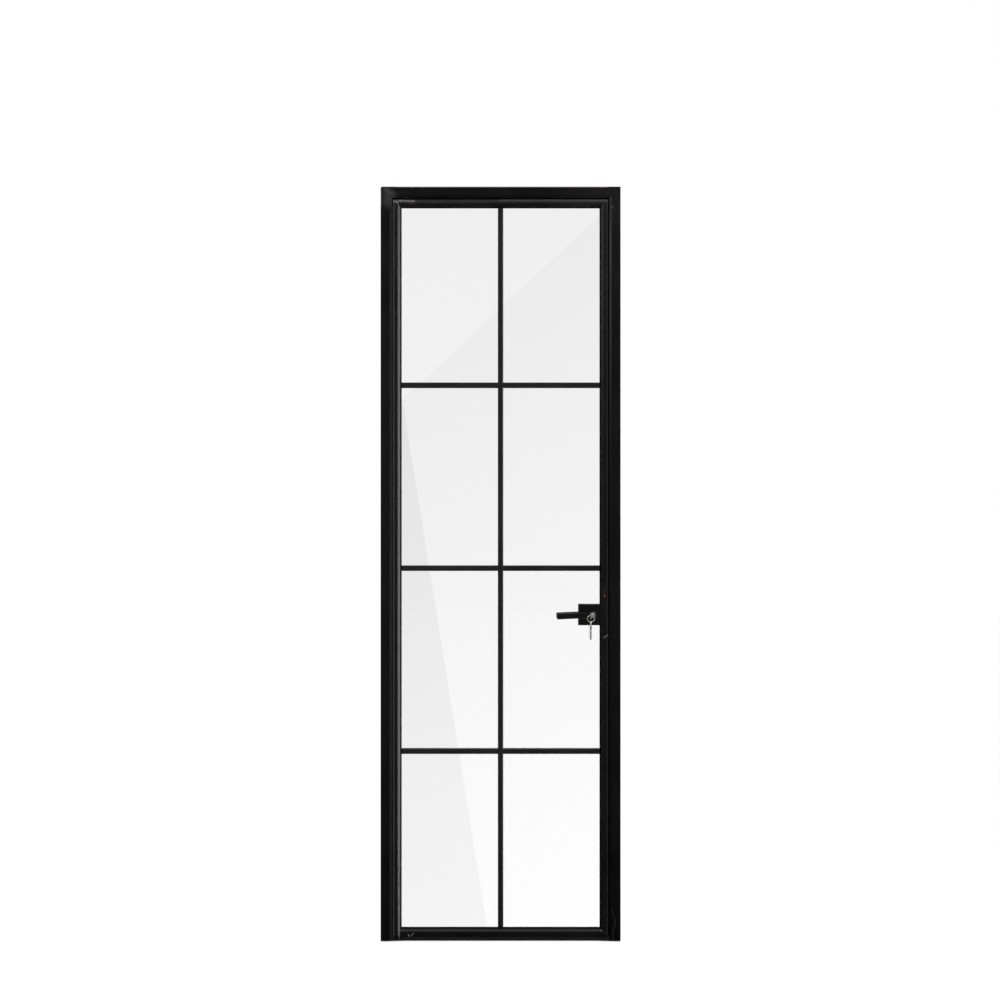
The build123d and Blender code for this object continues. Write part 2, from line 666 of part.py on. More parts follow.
with BuildPart() as setting_blocks:
    for side in (-1, 1):
        middle = side * BLOCK_SPREAD / 2
        glass_middle = (GLASS_FRONT + GLASS_BACK) / 2
        block((middle - BLOCK_LENGTH / 2, middle + BLOCK_LENGTH / 2),
              (glass_middle - BLOCK_WIDTH / 2, glass_middle + BLOCK_WIDTH / 2),
              (FLOOR_GAP + POCKET_FLOOR, SIGHT_BOTTOM - GLASS_BITE))

with BuildPart() as bottom_seal:
    sweep_front = LEAF_FRONT + FLANGE_FRONT + SWEEP_SETBACK
    with BuildSketch(Plane.YZ.offset(-LEAF_HALF)):
        area((sweep_front, sweep_front + SWEEP_WIDTH), (FLOOR_GAP - SWEEP_CARRIER, FLOOR_GAP))
        area((sweep_front, sweep_front + SWEEP_FIN), (SWEEP_CLEARANCE, FLOOR_GAP))
    extrude(amount=LEAF_WIDTH)


# Sash bars: an upright on each face of the glass, and three cross bars coped against it
def bar_section(depth):
    """A bar with its two front edges bevelled, drawn from the glass outwards."""
    with BuildSketch() as section:
        half = BAR_WIDTH / 2
        with BuildLine():
            Polyline((-half, 0), (half, 0), (half, depth - BAR_CHAMFER), (half - BAR_CHAMFER, depth),
                     (BAR_CHAMFER - half, depth), (-half, depth - BAR_CHAMFER), close=True)
        make_face()
    return section.sketch


def sash_bars(glass_face, outward):
    """The upright and its cross bars on one side of the glass: outward is -1 or 1 along Y."""
    depth = GLASS_FRONT - LEAF_FRONT - BAR_SETBACK
    reach = SIGHT_HALF - BAR_END_GAP
    with BuildPart() as upright:
        foot = (0, glass_face, SIGHT_BOTTOM + BAR_END_GAP)
        with BuildSketch(Plane(origin=foot, x_dir=(outward, 0, 0), z_dir=UP)):
            add(bar_section(depth))
        extrude(amount=SIGHT_TOP - SIGHT_BOTTOM - 2 * BAR_END_GAP)
    crossings = []
    for step in (1, 0, -1):
        with BuildPart() as cross:
            end = (-reach, glass_face, BAR_MIDDLE_HEIGHT + step * BAR_PITCH)
            with BuildSketch(Plane(origin=end, x_dir=(0, 0, -outward), z_dir=RIGHT)):
                add(bar_section(depth))
            extrude(amount=2 * reach)
            add(upright.part, mode=Mode.SUBTRACT)
        crossings.append(cross)
    return upright, crossings


# Lock covers: shallow trays over the notch in the glass, one on each face
def cover_tray(outline, leaf_face, inward, left, right):
    """A tray with its open side to the glass: outline is across and back from the leaf's face."""
    low = LOCK_BAND[0]
    tray_depth = GLASS_FRONT - LEAF_FRONT
    with BuildPart() as tray:
        with BuildSketch(Plane.XY.offset(low)):
            with BuildLine():
                Polyline(*[(x, leaf_face + inward * back) for x, back in outline], close=True)
            make_face()
        extrude(amount=COVER_HEIGHT)
        face_edges = tray.faces().sort_by(Axis.Y)[0 if inward > 0 else -1].edges()
        left_edge = face_edges.sort_by(Axis.X)[0]
        fillet([left_edge] + face_edges.filter_by(Axis.X), COVER_RADIUS)
        block((left + COVER_WALL, right - COVER_WALL),
              sorted((leaf_face + inward * COVER_WALL, leaf_face + inward * tray_depth)),
              (low + COVER_WALL, LOCK_BAND[1] - COVER_WALL), Mode.SUBTRACT)
        drill_back(PIVOT_X, LOCK_HEIGHT, NECK_RADIUS + TOUCH,
                   *sorted((leaf_face, leaf_face + inward * COVER_WALL)))
        drill_across(LATCH_Y, LOCK_HEIGHT, TUBE_RADIUS + FIT, CASE_RIGHT, LEAF_HALF)
    return tray.part


OUTER_COVER_RIGHT = LEG_X - COVER_GAP
INNER_COVER_RIGHT = TUBE_WALL_X - COVER_GAP
INNER_COVER_LEFT = COVER_LEFT + COVER_STEP
CASE_LEFT = COVER_LEFT + NOTCH_LAP + CASE_CLEARANCE
CASE_RIGHT = OUTER_COVER_RIGHT - COVER_WALL - TOUCH
CASE_HALF = NOTCH_HALF - CASE_CLEARANCE
CASE_FRONT = LEAF_FRONT + COVER_WALL
CASE_BACK = LEAF_BACK - COVER_WALL
TRAY_DEPTH = GLASS_FRONT - LEAF_FRONT
BOLT_PLACES = [(COVER_LEFT + CASE_HALF, LOCK_HEIGHT + side * (CASE_HALF - CASE_WALL - SHANK_RADIUS))
               for side in (-1, 1)]

outer_outline = ((COVER_LEFT, 0), (OUTER_COVER_RIGHT + FACE_BEVEL, 0),
                 (OUTER_COVER_RIGHT, BEVEL_FALL), (OUTER_COVER_RIGHT, TRAY_DEPTH),
                 (COVER_LEFT, TRAY_DEPTH))
inner_outline = ((INNER_COVER_LEFT, 0), (INNER_COVER_RIGHT, 0), (INNER_COVER_RIGHT, TRAY_DEPTH),
                 (INNER_COVER_LEFT, TRAY_DEPTH))

with BuildPart() as lock_front_cover:
    add(cover_tray(outer_outline, LEAF_FRONT, 1, COVER_LEFT, OUTER_COVER_RIGHT))
    for x, z in BOLT_PLACES:
        drill_back(x, z, SHANK_RADIUS + SCREW_CLEARANCE, LEAF_FRONT + COVER_WALL / 2, CASE_FRONT)

BOLT_HEADS = [Plane(origin=(x, LEAF_BACK, z), z_dir=(0, 1, 0)) for x, z in BOLT_PLACES]
LOCK_BOLT_LENGTH = LEAF_DEPTH - COVER_WALL / 2 - SCREW_CLEARANCE

with BuildPart() as lock_back_cover:
    add(cover_tray(inner_outline, LEAF_BACK, -1, INNER_COVER_LEFT, INNER_COVER_RIGHT))
    countersunk(BOLT_HEADS, LOCK_BOLT_LENGTH, SCREW_CLEARANCE, Mode.SUBTRACT)

with BuildPart() as lock_bolts:
    countersunk(BOLT_HEADS, LOCK_BOLT_LENGTH)

with BuildPart() as lock_case:
    block((CASE_LEFT, CASE_RIGHT), (CASE_FRONT, CASE_BACK),
          (LOCK_HEIGHT - CASE_HALF, LOCK_HEIGHT + CASE_HALF))
    block((CASE_LEFT + CASE_WALL, CASE_RIGHT - CASE_WALL),
          (CASE_FRONT + CASE_WALL, CASE_BACK - CASE_WALL),
          (LOCK_HEIGHT - CASE_HALF + CASE_WALL, LOCK_HEIGHT + CASE_HALF - CASE_WALL),
          Mode.SUBTRACT)
    drill_back(PIVOT_X, LOCK_HEIGHT, JOURNAL_RADIUS + PIN_RUNNING_FIT, CASE_FRONT, CASE_BACK)
    for x, z in BOLT_PLACES:
        drill_back(x, z, SHANK_RADIUS + SCREW_CLEARANCE, CASE_FRONT, CASE_BACK)
    block((CASE_RIGHT - CASE_WALL, CASE_RIGHT),
          (LATCH_Y - TAIL_THICKNESS / 2 - TOUCH, LATCH_Y + TAIL_THICKNESS / 2 + TOUCH),
          (LOCK_HEIGHT - TAIL_HEIGHT / 2 - TOUCH, LOCK_HEIGHT + TAIL_HEIGHT / 2 + TOUCH),
          Mode.SUBTRACT)

# Latch: tube, bolt with a yoke round the follower, spring and forend
TUBE_END = LEAF_HALF - FOREND_THICKNESS
with BuildPart() as latch_tube:
    with BuildSketch(Plane.YZ.offset(CASE_RIGHT)):
        with Locations((LATCH_Y, LOCK_HEIGHT)):
            Circle(TUBE_RADIUS)
    extrude(amount=TUBE_END - CASE_RIGHT)
    drill_across(LATCH_Y, LOCK_HEIGHT, TUBE_RADIUS - TUBE_WALL, CASE_RIGHT + TUBE_PLATE, TUBE_END)
    block((CASE_RIGHT, CASE_RIGHT + TUBE_PLATE),
          (LATCH_Y - TAIL_THICKNESS / 2 - TOUCH, LATCH_Y + TAIL_THICKNESS / 2 + TOUCH),
          (LOCK_HEIGHT - TAIL_HEIGHT / 2 - TOUCH, LOCK_HEIGHT + TAIL_HEIGHT / 2 + TOUCH),
          Mode.SUBTRACT)

with BuildPart() as forend_plate:
    with BuildSketch(Plane.YZ.offset(TUBE_END)):
        plate_outline(LATCH_Y, FOREND_HEIGHT)
    extrude(amount=FOREND_THICKNESS)
    bolt_opening(TUBE_END, LEAF_HALF, BOLT_HOLE_GAP)
    screw_holes(FOREND_SCREWS)

with BuildPart() as leaf_screws:
    countersunk(LEAF_HINGE_SCREWS + FOREND_SCREWS, SCREW_LENGTH)

BOLT_NOSE = LEAF_HALF + LATCH_TRAVEL
BOLT_HEEL = BOLT_NOSE - BOLT_LENGTH
YOKE_LEFT = PIVOT_X - YOKE_REACH_BACK
YOKE_RIGHT = PIVOT_X + YOKE_REACH_FORWARD
with BuildPart() as latch_bolt:
    with BuildSketch(Plane.XY.offset(LOCK_HEIGHT - BOLT_HEIGHT / 2)):
        with BuildLine():
            half = BOLT_WIDTH / 2
            Polyline((BOLT_HEEL, LATCH_Y - half), (BOLT_NOSE - BOLT_BEVEL, LATCH_Y - half),
                     (BOLT_NOSE, LATCH_Y + half - BOLT_TIP), (BOLT_NOSE, LATCH_Y + half),
                     (BOLT_HEEL, LATCH_Y + half), close=True)
        make_face()
    extrude(amount=BOLT_HEIGHT)
    with BuildSketch(facing(LATCH_Y - TAIL_THICKNESS / 2)):
        area((YOKE_LEFT - YOKE_BAR, YOKE_RIGHT + YOKE_BAR),
             (LOCK_HEIGHT - YOKE_BOTTOM - YOKE_BAR, LOCK_HEIGHT + YOKE_TOP + YOKE_BAR - TOUCH))
        area((YOKE_LEFT, YOKE_RIGHT), (LOCK_HEIGHT - YOKE_BOTTOM, LOCK_HEIGHT + YOKE_TOP),
             Mode.SUBTRACT)
        area((YOKE_LEFT, PIVOT_X - LOBE_WIDTH / 2 - TOOTH_GAP),
             (LOCK_HEIGHT + YOKE_TOP - YOKE_TOOTH, LOCK_HEIGHT + YOKE_TOP))
        area((YOKE_RIGHT, BOLT_HEEL),
             (LOCK_HEIGHT - TAIL_HEIGHT / 2, LOCK_HEIGHT + TAIL_HEIGHT / 2))
    extrude(amount=-TAIL_THICKNESS)

SPRING_FROM = CASE_RIGHT + TUBE_PLATE + SPRING_WIRE / 2
SPRING_LENGTH = BOLT_HEEL - SPRING_WIRE / 2 - SPRING_FROM
with BuildPart() as latch_spring:
    with BuildLine():
        coil = Helix(pitch=SPRING_LENGTH / SPRING_TURNS, height=SPRING_LENGTH, radius=SPRING_RADIUS,
                     center=(SPRING_FROM, LATCH_Y, LOCK_HEIGHT), direction=RIGHT)
    spoke = (coil @ 0) - Vector(SPRING_FROM, LATCH_Y, LOCK_HEIGHT)
    with BuildSketch(Plane(origin=coil @ 0, x_dir=spoke, z_dir=coil % 0)):
        Rectangle(SPRING_WIRE, SPRING_WIRE)
    sweep(path=coil, is_frenet=True)

HUB_FRONT = CASE_FRONT + CASE_WALL + TOUCH
HUB_BACK = CASE_BACK - CASE_WALL - TOUCH
with BuildPart() as follower:
    with BuildSketch(facing(HUB_FRONT)):
        with Locations((PIVOT_X, LOCK_HEIGHT)):
            Circle(HUB_RADIUS)
    extrude(amount=HUB_FRONT - HUB_BACK)
    with BuildSketch(facing(CASE_FRONT + TOUCH)):
        with Locations((PIVOT_X, LOCK_HEIGHT)):
            Circle(JOURNAL_RADIUS)
    extrude(amount=CASE_FRONT - CASE_BACK + 2 * TOUCH)
    block((PIVOT_X - LOBE_WIDTH / 2, PIVOT_X + LOBE_WIDTH / 2),
          (LATCH_Y - TAIL_THICKNESS / 2, LATCH_Y + TAIL_THICKNESS / 2),
          (LOCK_HEIGHT + JOURNAL_RADIUS, LOCK_HEIGHT + LOBE_REACH))
    block((PIVOT_X - SPINDLE / 2 - SCREW_CLEARANCE, PIVOT_X + SPINDLE / 2 + SCREW_CLEARANCE),
          (CASE_FRONT, CASE_BACK),
          (LOCK_HEIGHT - SPINDLE / 2 - SCREW_CLEARANCE, LOCK_HEIGHT + SPINDLE / 2 + SCREW_CLEARANCE),
          Mode.SUBTRACT)

with BuildPart() as spindle:
    block((PIVOT_X - SPINDLE / 2, PIVOT_X + SPINDLE / 2),
          (LEAF_FRONT - SPINDLE_REACH, LEAF_BACK + SPINDLE_REACH),
          (LOCK_HEIGHT - SPINDLE / 2, LOCK_HEIGHT + SPINDLE / 2))


# Levers: a flat bar that droops a little, on a round neck bored for the key plug or the turn button
def lever(leaf_face, outward, bore_radius, bore_depth):
    """One lever, standing outward (-1 or 1 along Y) from a face of the leaf."""
    front = leaf_face + outward * LEVER_FRONT
    back = leaf_face + outward * LEVER_STAND
    neck_end = leaf_face - outward * (COVER_WALL - TOUCH)
    square = SPINDLE / 2 + SCREW_CLEARANCE
    along = Vector(RIGHT).rotate(Axis.Y, -LEVER_DROOP)
    with BuildPart() as handle:
        with BuildSketch(Plane(origin=(PIVOT_X, back, LOCK_HEIGHT), x_dir=along, z_dir=(0, outward, 0))):
            with Locations((LEVER_HEEL - LEVER_LENGTH / 2, 0)):
                Rectangle(LEVER_LENGTH, LEVER_HEIGHT)
        extrude(amount=LEVER_THICKNESS)
        fillet(handle.edges(), LEVER_EDGE)
        with BuildSketch(Plane(origin=(PIVOT_X, neck_end, LOCK_HEIGHT), z_dir=(0, outward, 0))):
            Circle(NECK_RADIUS)
        extrude(amount=abs(back - neck_end) + LEVER_EDGE)
        drill_back(PIVOT_X, LOCK_HEIGHT, bore_radius, *sorted((front, front - outward * bore_depth)))
        block((PIVOT_X - square, PIVOT_X + square),
              sorted((neck_end, leaf_face + outward * (SPINDLE_REACH + FIT))),
              (LOCK_HEIGHT - square, LOCK_HEIGHT + square), Mode.SUBTRACT)
    return handle.part


with BuildPart() as outer_lever:
    add(lever(LEAF_FRONT, -1, PLUG_RADIUS + PLUG_FIT, PLUG_LENGTH))

with BuildPart() as inner_lever:
    add(lever(LEAF_BACK, 1, BUTTON_SHAFT_RADIUS + PLUG_FIT, BUTTON_SHAFT_LENGTH + TOUCH))

# Key plug in the outer lever
PLUG_FRONT = LEAF_FRONT - LEVER_FRONT - PLUG_PROUD
with BuildPart() as key_plug:
    with BuildSketch(facing(PLUG_FRONT)):
        with Locations((PIVOT_X, LOCK_HEIGHT)):
            Circle(PLUG_RADIUS)
    extrude(amount=-PLUG_LENGTH)
    with BuildSketch(facing(PLUG_FRONT)):
        with Locations((PIVOT_X, LOCK_HEIGHT)):
            Rectangle(KEYWAY_WIDTH, KEYWAY_HEIGHT, rotation=-KEY_TILT)
    extrude(amount=-KEYWAY_DEPTH, mode=Mode.SUBTRACT)


# Keys: a flat blank with a round bow, a hole for the ring and cuts along one edge
def key(hole, toward_tip, hole_axis):
    """A flat key: where its bow hole is, the way to its tip, and the way through its hole."""
    shoulder = KEY_BOW_RADIUS + KEY_HOLE_OFFSET + KEY_NECK
    with BuildPart() as blank:
        with BuildSketch(Plane(origin=hole, x_dir=toward_tip, z_dir=hole_axis)):
            with Locations((KEY_HOLE_OFFSET, 0)):
                Circle(KEY_BOW_RADIUS)
            area((KEY_HOLE_OFFSET, shoulder), (-KEY_NECK_HEIGHT / 2, KEY_NECK_HEIGHT / 2))
            area((KEY_HOLE_OFFSET, shoulder + KEY_BLADE),
                 (-KEY_BLADE_HEIGHT / 2, KEY_BLADE_HEIGHT / 2))
            Circle(KEY_HOLE_RADIUS, mode=Mode.SUBTRACT)
            edge = KEY_BLADE_HEIGHT / 2
            for number, depth in enumerate(KEY_CUTS, start=1):
                middle = shoulder + KEY_CUT_PITCH * number
                with BuildLine():
                    Polyline((middle - depth, edge), (middle, edge - depth), (middle + depth, edge),
                             close=True)
                make_face(mode=Mode.SUBTRACT)
        extrude(amount=KEY_THICKNESS / 2, both=True)
    return blank.part


RING_Y = PLUG_FRONT - TOUCH - KEY_NECK - KEY_BOW_RADIUS - KEY_HOLE_OFFSET
MAIN_KEY_HOLE = Vector(PIVOT_X, RING_Y, LOCK_HEIGHT)
RING_MIDDLE = MAIN_KEY_HOLE + (Vector(DOWN) * RING_RADIUS).rotate(Axis.Y, KEY_TILT)
with BuildPart() as main_key:
    add(key(MAIN_KEY_HOLE, (0, 1, 0), Vector(RIGHT).rotate(Axis.Y, KEY_TILT)))

with BuildPart() as key_ring:
    with BuildSketch(Plane.YZ.offset(RING_MIDDLE.X)):
        with Locations((RING_Y, RING_MIDDLE.Z + RING_RADIUS)):
            Rectangle(RING_WIRE, RING_WIRE)
    revolve(axis=Axis(RING_MIDDLE, (0, 1, 0)), revolution_arc=360)

with BuildPart() as spare_key:
    for number in range(SPARE_KEYS):
        across = (number - (SPARE_KEYS - 1) / 2) * (KEY_THICKNESS + SPARE_KEY_GAP)
        add(key(RING_MIDDLE + Vector(across, 0, -RING_RADIUS), DOWN, LEFT))

with BuildPart() as turn_button:
    lever_face = LEAF_BACK + LEVER_FRONT
    with BuildSketch(facing(lever_face - BUTTON_SHAFT_LENGTH)):
        with Locations((PIVOT_X, LOCK_HEIGHT)):
            Circle(BUTTON_SHAFT_RADIUS)
    extrude(amount=-BUTTON_SHAFT_LENGTH - BUTTON_REACH / 2)
    with BuildSketch(facing(lever_face + TOUCH)):
        with Locations((PIVOT_X, LOCK_HEIGHT)):
            SlotOverall(BUTTON_LENGTH, BUTTON_WIDTH)
    extrude(amount=-(BUTTON_REACH - TOUCH))
    fillet(turn_button.faces().sort_by(Axis.Y)[-1].edges(), LEVER_EDGE)

outer_upright, outer_crossings = sash_bars(GLASS_FRONT, -1)
inner_upright, inner_crossings = sash_bars(GLASS_BACK, 1)

pieces = {
    "hinge_jamb": hinge_jamb,
    "lock_jamb": lock_jamb,
    "head_jamb": head_jamb,
    "frame_corner_cleats": frame_corner_cleats,
    "frame_seal": frame_seal,
    "fixing_hole_caps": fixing_hole_caps,
    "strike_plate": strike_plate,
    "strike_box": strike_box,
    "hinge_pins": hinge_pins,
    "frame_screws": frame_screws,
    "hinge_stile": hinge_stile,
    "lock_stile": lock_stile,
    "top_rail": top_rail,
    "bottom_rail": bottom_rail,
    "leaf_corner_cleats": leaf_corner_cleats,
    "outer_glazing_seal": outer_glazing_seal,
    "inner_glazing_seal": inner_glazing_seal,
    "glass_pane": glass_pane,
    "setting_blocks": setting_blocks,
    "bottom_seal": bottom_seal,
    "outer_mullion": outer_upright,
    "inner_mullion": inner_upright,
    "lock_front_cover": lock_front_cover,
    "lock_back_cover": lock_back_cover,
    "lock_bolts": lock_bolts,
    "lock_case": lock_case,
    "latch_tube": latch_tube,
    "forend_plate": forend_plate,
    "leaf_screws": leaf_screws,
    "latch_bolt": latch_bolt,
    "latch_spring": latch_spring,
    "follower": follower,
    "spindle": spindle,
    "outer_lever": outer_lever,
    "inner_lever": inner_lever,
    "key_plug": key_plug,
    "main_key": main_key,
    "key_ring": key_ring,
    "spare_key": spare_key,
    "turn_button": turn_button,
}
for side, bead in beads.items():
    pieces[f"glazing_bead_{side}"] = bead
levels = ("upper", "middle", "lower")
for position, outer_bar, inner_bar in zip(levels, outer_crossings, inner_crossings):
    pieces[f"outer_bar_{position}"] = outer_bar
    pieces[f"inner_bar_{position}"] = inner_bar
for position, height in HINGE_HEIGHTS.items():
    pieces[f"{position}_hinge_frame_half"] = hinge_half(height, -1)
    pieces[f"{position}_hinge_leaf_half"] = hinge_half(height, 1)

for name, piece in pieces.items():
    piece.part.label = name
    export_step(piece.part, f"parts/{name}.step")
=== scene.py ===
"""Finish, fittings and studio for a glazed door that stands in its own frame.

Metres. X runs across the door, Y from the key side to the inner side, Z up from the floor.
"""

import json
import math

import bmesh
import bpy
from bpy.props import FloatProperty, FloatVectorProperty, IntProperty, PointerProperty
from mathutils import Matrix, Vector


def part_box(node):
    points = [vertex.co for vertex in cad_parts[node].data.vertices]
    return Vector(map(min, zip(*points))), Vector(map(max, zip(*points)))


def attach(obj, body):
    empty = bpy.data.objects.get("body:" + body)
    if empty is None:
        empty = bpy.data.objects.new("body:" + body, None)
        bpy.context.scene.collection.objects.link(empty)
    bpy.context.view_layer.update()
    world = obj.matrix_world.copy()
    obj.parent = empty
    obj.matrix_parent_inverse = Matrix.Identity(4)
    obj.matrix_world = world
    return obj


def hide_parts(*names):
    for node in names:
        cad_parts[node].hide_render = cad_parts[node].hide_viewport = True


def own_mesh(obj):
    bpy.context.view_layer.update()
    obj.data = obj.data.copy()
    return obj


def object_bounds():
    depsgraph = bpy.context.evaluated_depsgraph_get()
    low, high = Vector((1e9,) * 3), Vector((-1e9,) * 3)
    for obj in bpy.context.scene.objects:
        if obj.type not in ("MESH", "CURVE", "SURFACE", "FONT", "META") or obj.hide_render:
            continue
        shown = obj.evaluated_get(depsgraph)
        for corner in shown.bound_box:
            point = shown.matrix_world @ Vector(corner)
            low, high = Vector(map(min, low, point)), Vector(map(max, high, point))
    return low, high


bl_info = {
    "name": "Glazed Door Finish",
    "version": (1, 0, 0),
    "blender": (4, 5, 0),
    "location": "3D View > Sidebar > Glazed Door",
    "description": "Adds the finish, the fittings and the studio to a glazed door in its frame",
    "category": "Object",
}

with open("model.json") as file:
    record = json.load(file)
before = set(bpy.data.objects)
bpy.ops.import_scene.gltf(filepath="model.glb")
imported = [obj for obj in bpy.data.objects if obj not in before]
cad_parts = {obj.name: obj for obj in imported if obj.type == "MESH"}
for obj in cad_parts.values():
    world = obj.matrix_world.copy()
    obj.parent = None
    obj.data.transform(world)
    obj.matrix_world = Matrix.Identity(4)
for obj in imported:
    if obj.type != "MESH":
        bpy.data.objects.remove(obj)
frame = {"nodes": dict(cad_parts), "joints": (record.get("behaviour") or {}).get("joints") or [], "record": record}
CAD_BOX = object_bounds()
NODES = frame["nodes"]
JOINTS = {joint["name"]: joint for joint in frame["joints"]}
BODY_OF = {name: body for body, names in frame["record"]["behaviour"]["bodies"].items() for name in names}
SLOT_OF = {entry["node"]: entry["material_slot"] for entry in frame["record"]["subparts"]}

MM = 0.001
WHITE = (1, 1, 1, 1)
BLACK = (0, 0, 0, 1)

# The photograph's frame: its scale on the front of the door, and the point it is aimed at
PIXEL = 0.0029166
DOOR_MIDDLE_PIXEL = 500.6
FLOOR_PIXEL = 940.9
PHOTO_SIDE = 1000
PHOTO_MIDDLE = (PHOTO_SIDE / 2, PHOTO_SIDE / 2)
SENSOR_WIDTH = 36

# Pieces by what they are made of
FRAME_PROFILES = {"hinge_jamb": "Hinge jamb powder coat", "lock_jamb": "Lock jamb powder coat",
                  "head_jamb": "Head powder coat"}
LEAF_PROFILES = ("hinge_stile", "lock_stile", "top_rail", "bottom_rail")
BARS = ("outer_mullion", "inner_mullion", "outer_bar_upper", "outer_bar_middle", "outer_bar_lower",
        "inner_bar_upper", "inner_bar_middle", "inner_bar_lower")
BEADS = ("glazing_bead_hinge", "glazing_bead_lock", "glazing_bead_top", "glazing_bead_bottom")
HINGES = ("upper_hinge", "middle_hinge", "lower_hinge")
HINGE_HALVES = tuple(f"{hinge}_{half}_half" for hinge in HINGES for half in ("frame", "leaf"))
COVERS = ("lock_front_cover", "lock_back_cover")
LEVERS = ("outer_lever", "inner_lever")
SEALS = ("frame_seal", "outer_glazing_seal", "inner_glazing_seal", "bottom_seal")
STEEL_PLATES = ("strike_plate", "forend_plate", "latch_bolt")
HIDDEN_STEEL = ("latch_tube", "lock_case", "lock_bolts", "spindle", "follower")
CLEATS = ("frame_corner_cleats", "leaf_corner_cleats")
PLASTICS = ("fixing_hole_caps", "strike_box", "setting_blocks")
KEYS = {"key_plug": "Worn nickel", "main_key": "Worn nickel", "spare_key": "Spare key nickel"}


def color_property(name, description, default):
    """A colour that a user can change."""
    return FloatVectorProperty(name=name, description=description, subtype="COLOR", size=3, min=0, max=1,
                               default=default)


class DoorCoat(bpy.types.PropertyGroup):
    """Colours and wear of the coated metal."""

    frame_color: color_property(
        "Frame colour", "Powder coat on the jambs and the head", (0.0017, 0.0015, 0.0018))
    leaf_color: color_property(
        "Leaf colour", "Powder coat on the leaf's stiles and rails", (0.0040, 0.0036, 0.0042))
    bar_color: color_property(
        "Bar colour", "Powder coat on the sash bars and glazing beads", (0.0078, 0.0071, 0.0083))
    hardware_color: color_property(
        "Hardware colour", "Coat on the levers, the lock covers and the hinges", (0.0028, 0.0028, 0.0031))
    worn_color: color_property(
        "Worn coat colour", "Rubbed coat along edges", (0.02, 0.019, 0.019))
    # Also the colour of the painted highlights, glints and sheen on the coat.
    mark_color: color_property(
        "Scratch colour", "Light scratches through the coat", (0.3, 0.29, 0.27))
    # Also tints a painted reddish glint on the lock stile.
    rust_and_glint_color: color_property(
        "Reddish mark colour", "Reddish marks on the coat", (0.30, 0.07, 0.05))
    # Also tints the painted floor reflection along the leaf's foot.
    dust_and_reflection_color: color_property(
        "Dust colour", "Dust that settles on ledges and near the floor", (0.16, 0.12, 0.09))
    frame_roughness: FloatProperty(
        name="Frame roughness", description="Roughness of the satin coat on the frame",
        subtype="FACTOR", min=0, max=1, default=0.3)
    leaf_roughness: FloatProperty(
        name="Leaf roughness", description="Roughness of the smoother coat on the leaf and the hardware",
        subtype="FACTOR", min=0, max=1, default=0.28)
    wear_width: FloatProperty(
        name="Wear width", description="How far the rubbed coat reaches in from an edge",
        subtype="DISTANCE", unit="LENGTH", min=0, max=0.01, default=0.0006)
    grain_size: FloatProperty(
        name="Grain size", description="Size of the dimples in the powder coat",
        subtype="DISTANCE", unit="LENGTH", min=0.0001, max=0.01, default=0.0009)


class DoorFittings(bpy.types.PropertyGroup):
    """Bare metals, rubber, plastic and glass, and how far edges are rounded."""

    steel_color: color_property(
        "Steel colour", "Zinc-plated steel of the latch, plates and screws", (0.52, 0.52, 0.5))
    nickel_color: color_property(
        "Nickel colour", "Nickel plate on the plug, the keys and the ring", (0.80, 0.78, 0.71))
    brass_color: color_property(
        "Brass colour", "Brass that shows where the nickel has worn", (0.5, 0.33, 0.13))
    aluminium_color: color_property(
        "Aluminium colour", "Mill-finish aluminium of the corner cleats", (0.66, 0.67, 0.68))
    rubber_color: color_property(
        "Rubber colour", "Black rubber of the seals", (0.0012, 0.0012, 0.0012))
    plastic_color: color_property(
        "Plastic colour", "Black plastic of the caps, blocks and strike box", (0.011, 0.011, 0.012))
    glass_color: color_property(
        "Glass colour", "Tint of the glass through its whole thickness", (0.82, 0.82, 0.82))
    profile_edge: FloatProperty(
        name="Profile edge", description="Radius on the edges of the profiles and bars",
        subtype="DISTANCE", unit="LENGTH", min=0, max=0.001, default=0.0004)
    hardware_edge: FloatProperty(
        name="Hardware edge", description="Radius on the edges of hinges, covers and plates",
        subtype="DISTANCE", unit="LENGTH", min=0, max=0.001, default=0.0004)
    key_edge: FloatProperty(
        name="Key edge", description="Radius on the edges of the keys and the plug",
        subtype="DISTANCE", unit="LENGTH", min=0, max=0.0005, default=0.0002)
    edge_segments: IntProperty(
        name="Edge segments", description="Facets across each rounded edge", min=1, max=6, default=2)
    ring_turns: IntProperty(
        name="Ring turns", description="Times that the key ring's wire goes round", min=1, max=4, default=2)


class DoorStudio(bpy.types.PropertyGroup):
    """Camera, lamps and background."""

    camera_distance: FloatProperty(
        name="Camera distance", description="From the camera to the front of the frame",
        subtype="DISTANCE", unit="LENGTH", min=1, max=50, default=10)
    fill_level: FloatProperty(
        name="Fill level", description="Strength of the light from all round",
        min=0, max=2, default=0.6)
    key_power: FloatProperty(
        name="Key light", description="Power of the soft light above the camera",
        subtype="POWER", unit="POWER", min=0, max=2000, default=160)
    strip_level: FloatProperty(
        name="Strip level", description="Brightness of the two strips beside the lock jamb, in reflections",
        min=0, max=100, default=20)
    side_level: FloatProperty(
        name="Side card level", description="Brightness of the card in front on the hinge side",
        min=0, max=100, default=1.5)
    high_level: FloatProperty(
        name="High card level", description="Brightness of the two small cards high at the sides",
        min=0, max=100, default=5)
    window_level: FloatProperty(
        name="Window level", description="Brightness of the window that the glass mirrors",
        min=0, max=5, default=1)


# Node helpers

def feed(tree, socket, value):
    """Gives a socket a plain value or another node's output."""
    if isinstance(value, bpy.types.NodeSocket):
        tree.links.new(value, socket)
    else:
        socket.default_value = value


def put(tree, kind, inputs=None, **settings):
    """Adds a shader node; inputs are plain values or other nodes' outputs, by socket name or number."""
    made = tree.nodes.new(kind)
    for name, value in settings.items():
        setattr(made, name, value)
    for name, value in (inputs or {}).items():
        feed(tree, made.inputs[name], value)
    return made


def calc(tree, operation, *values, clamp=False):
    """One Math node's result."""
    return put(tree, "ShaderNodeMath", dict(enumerate(values)), operation=operation,
               use_clamp=clamp).outputs[0]


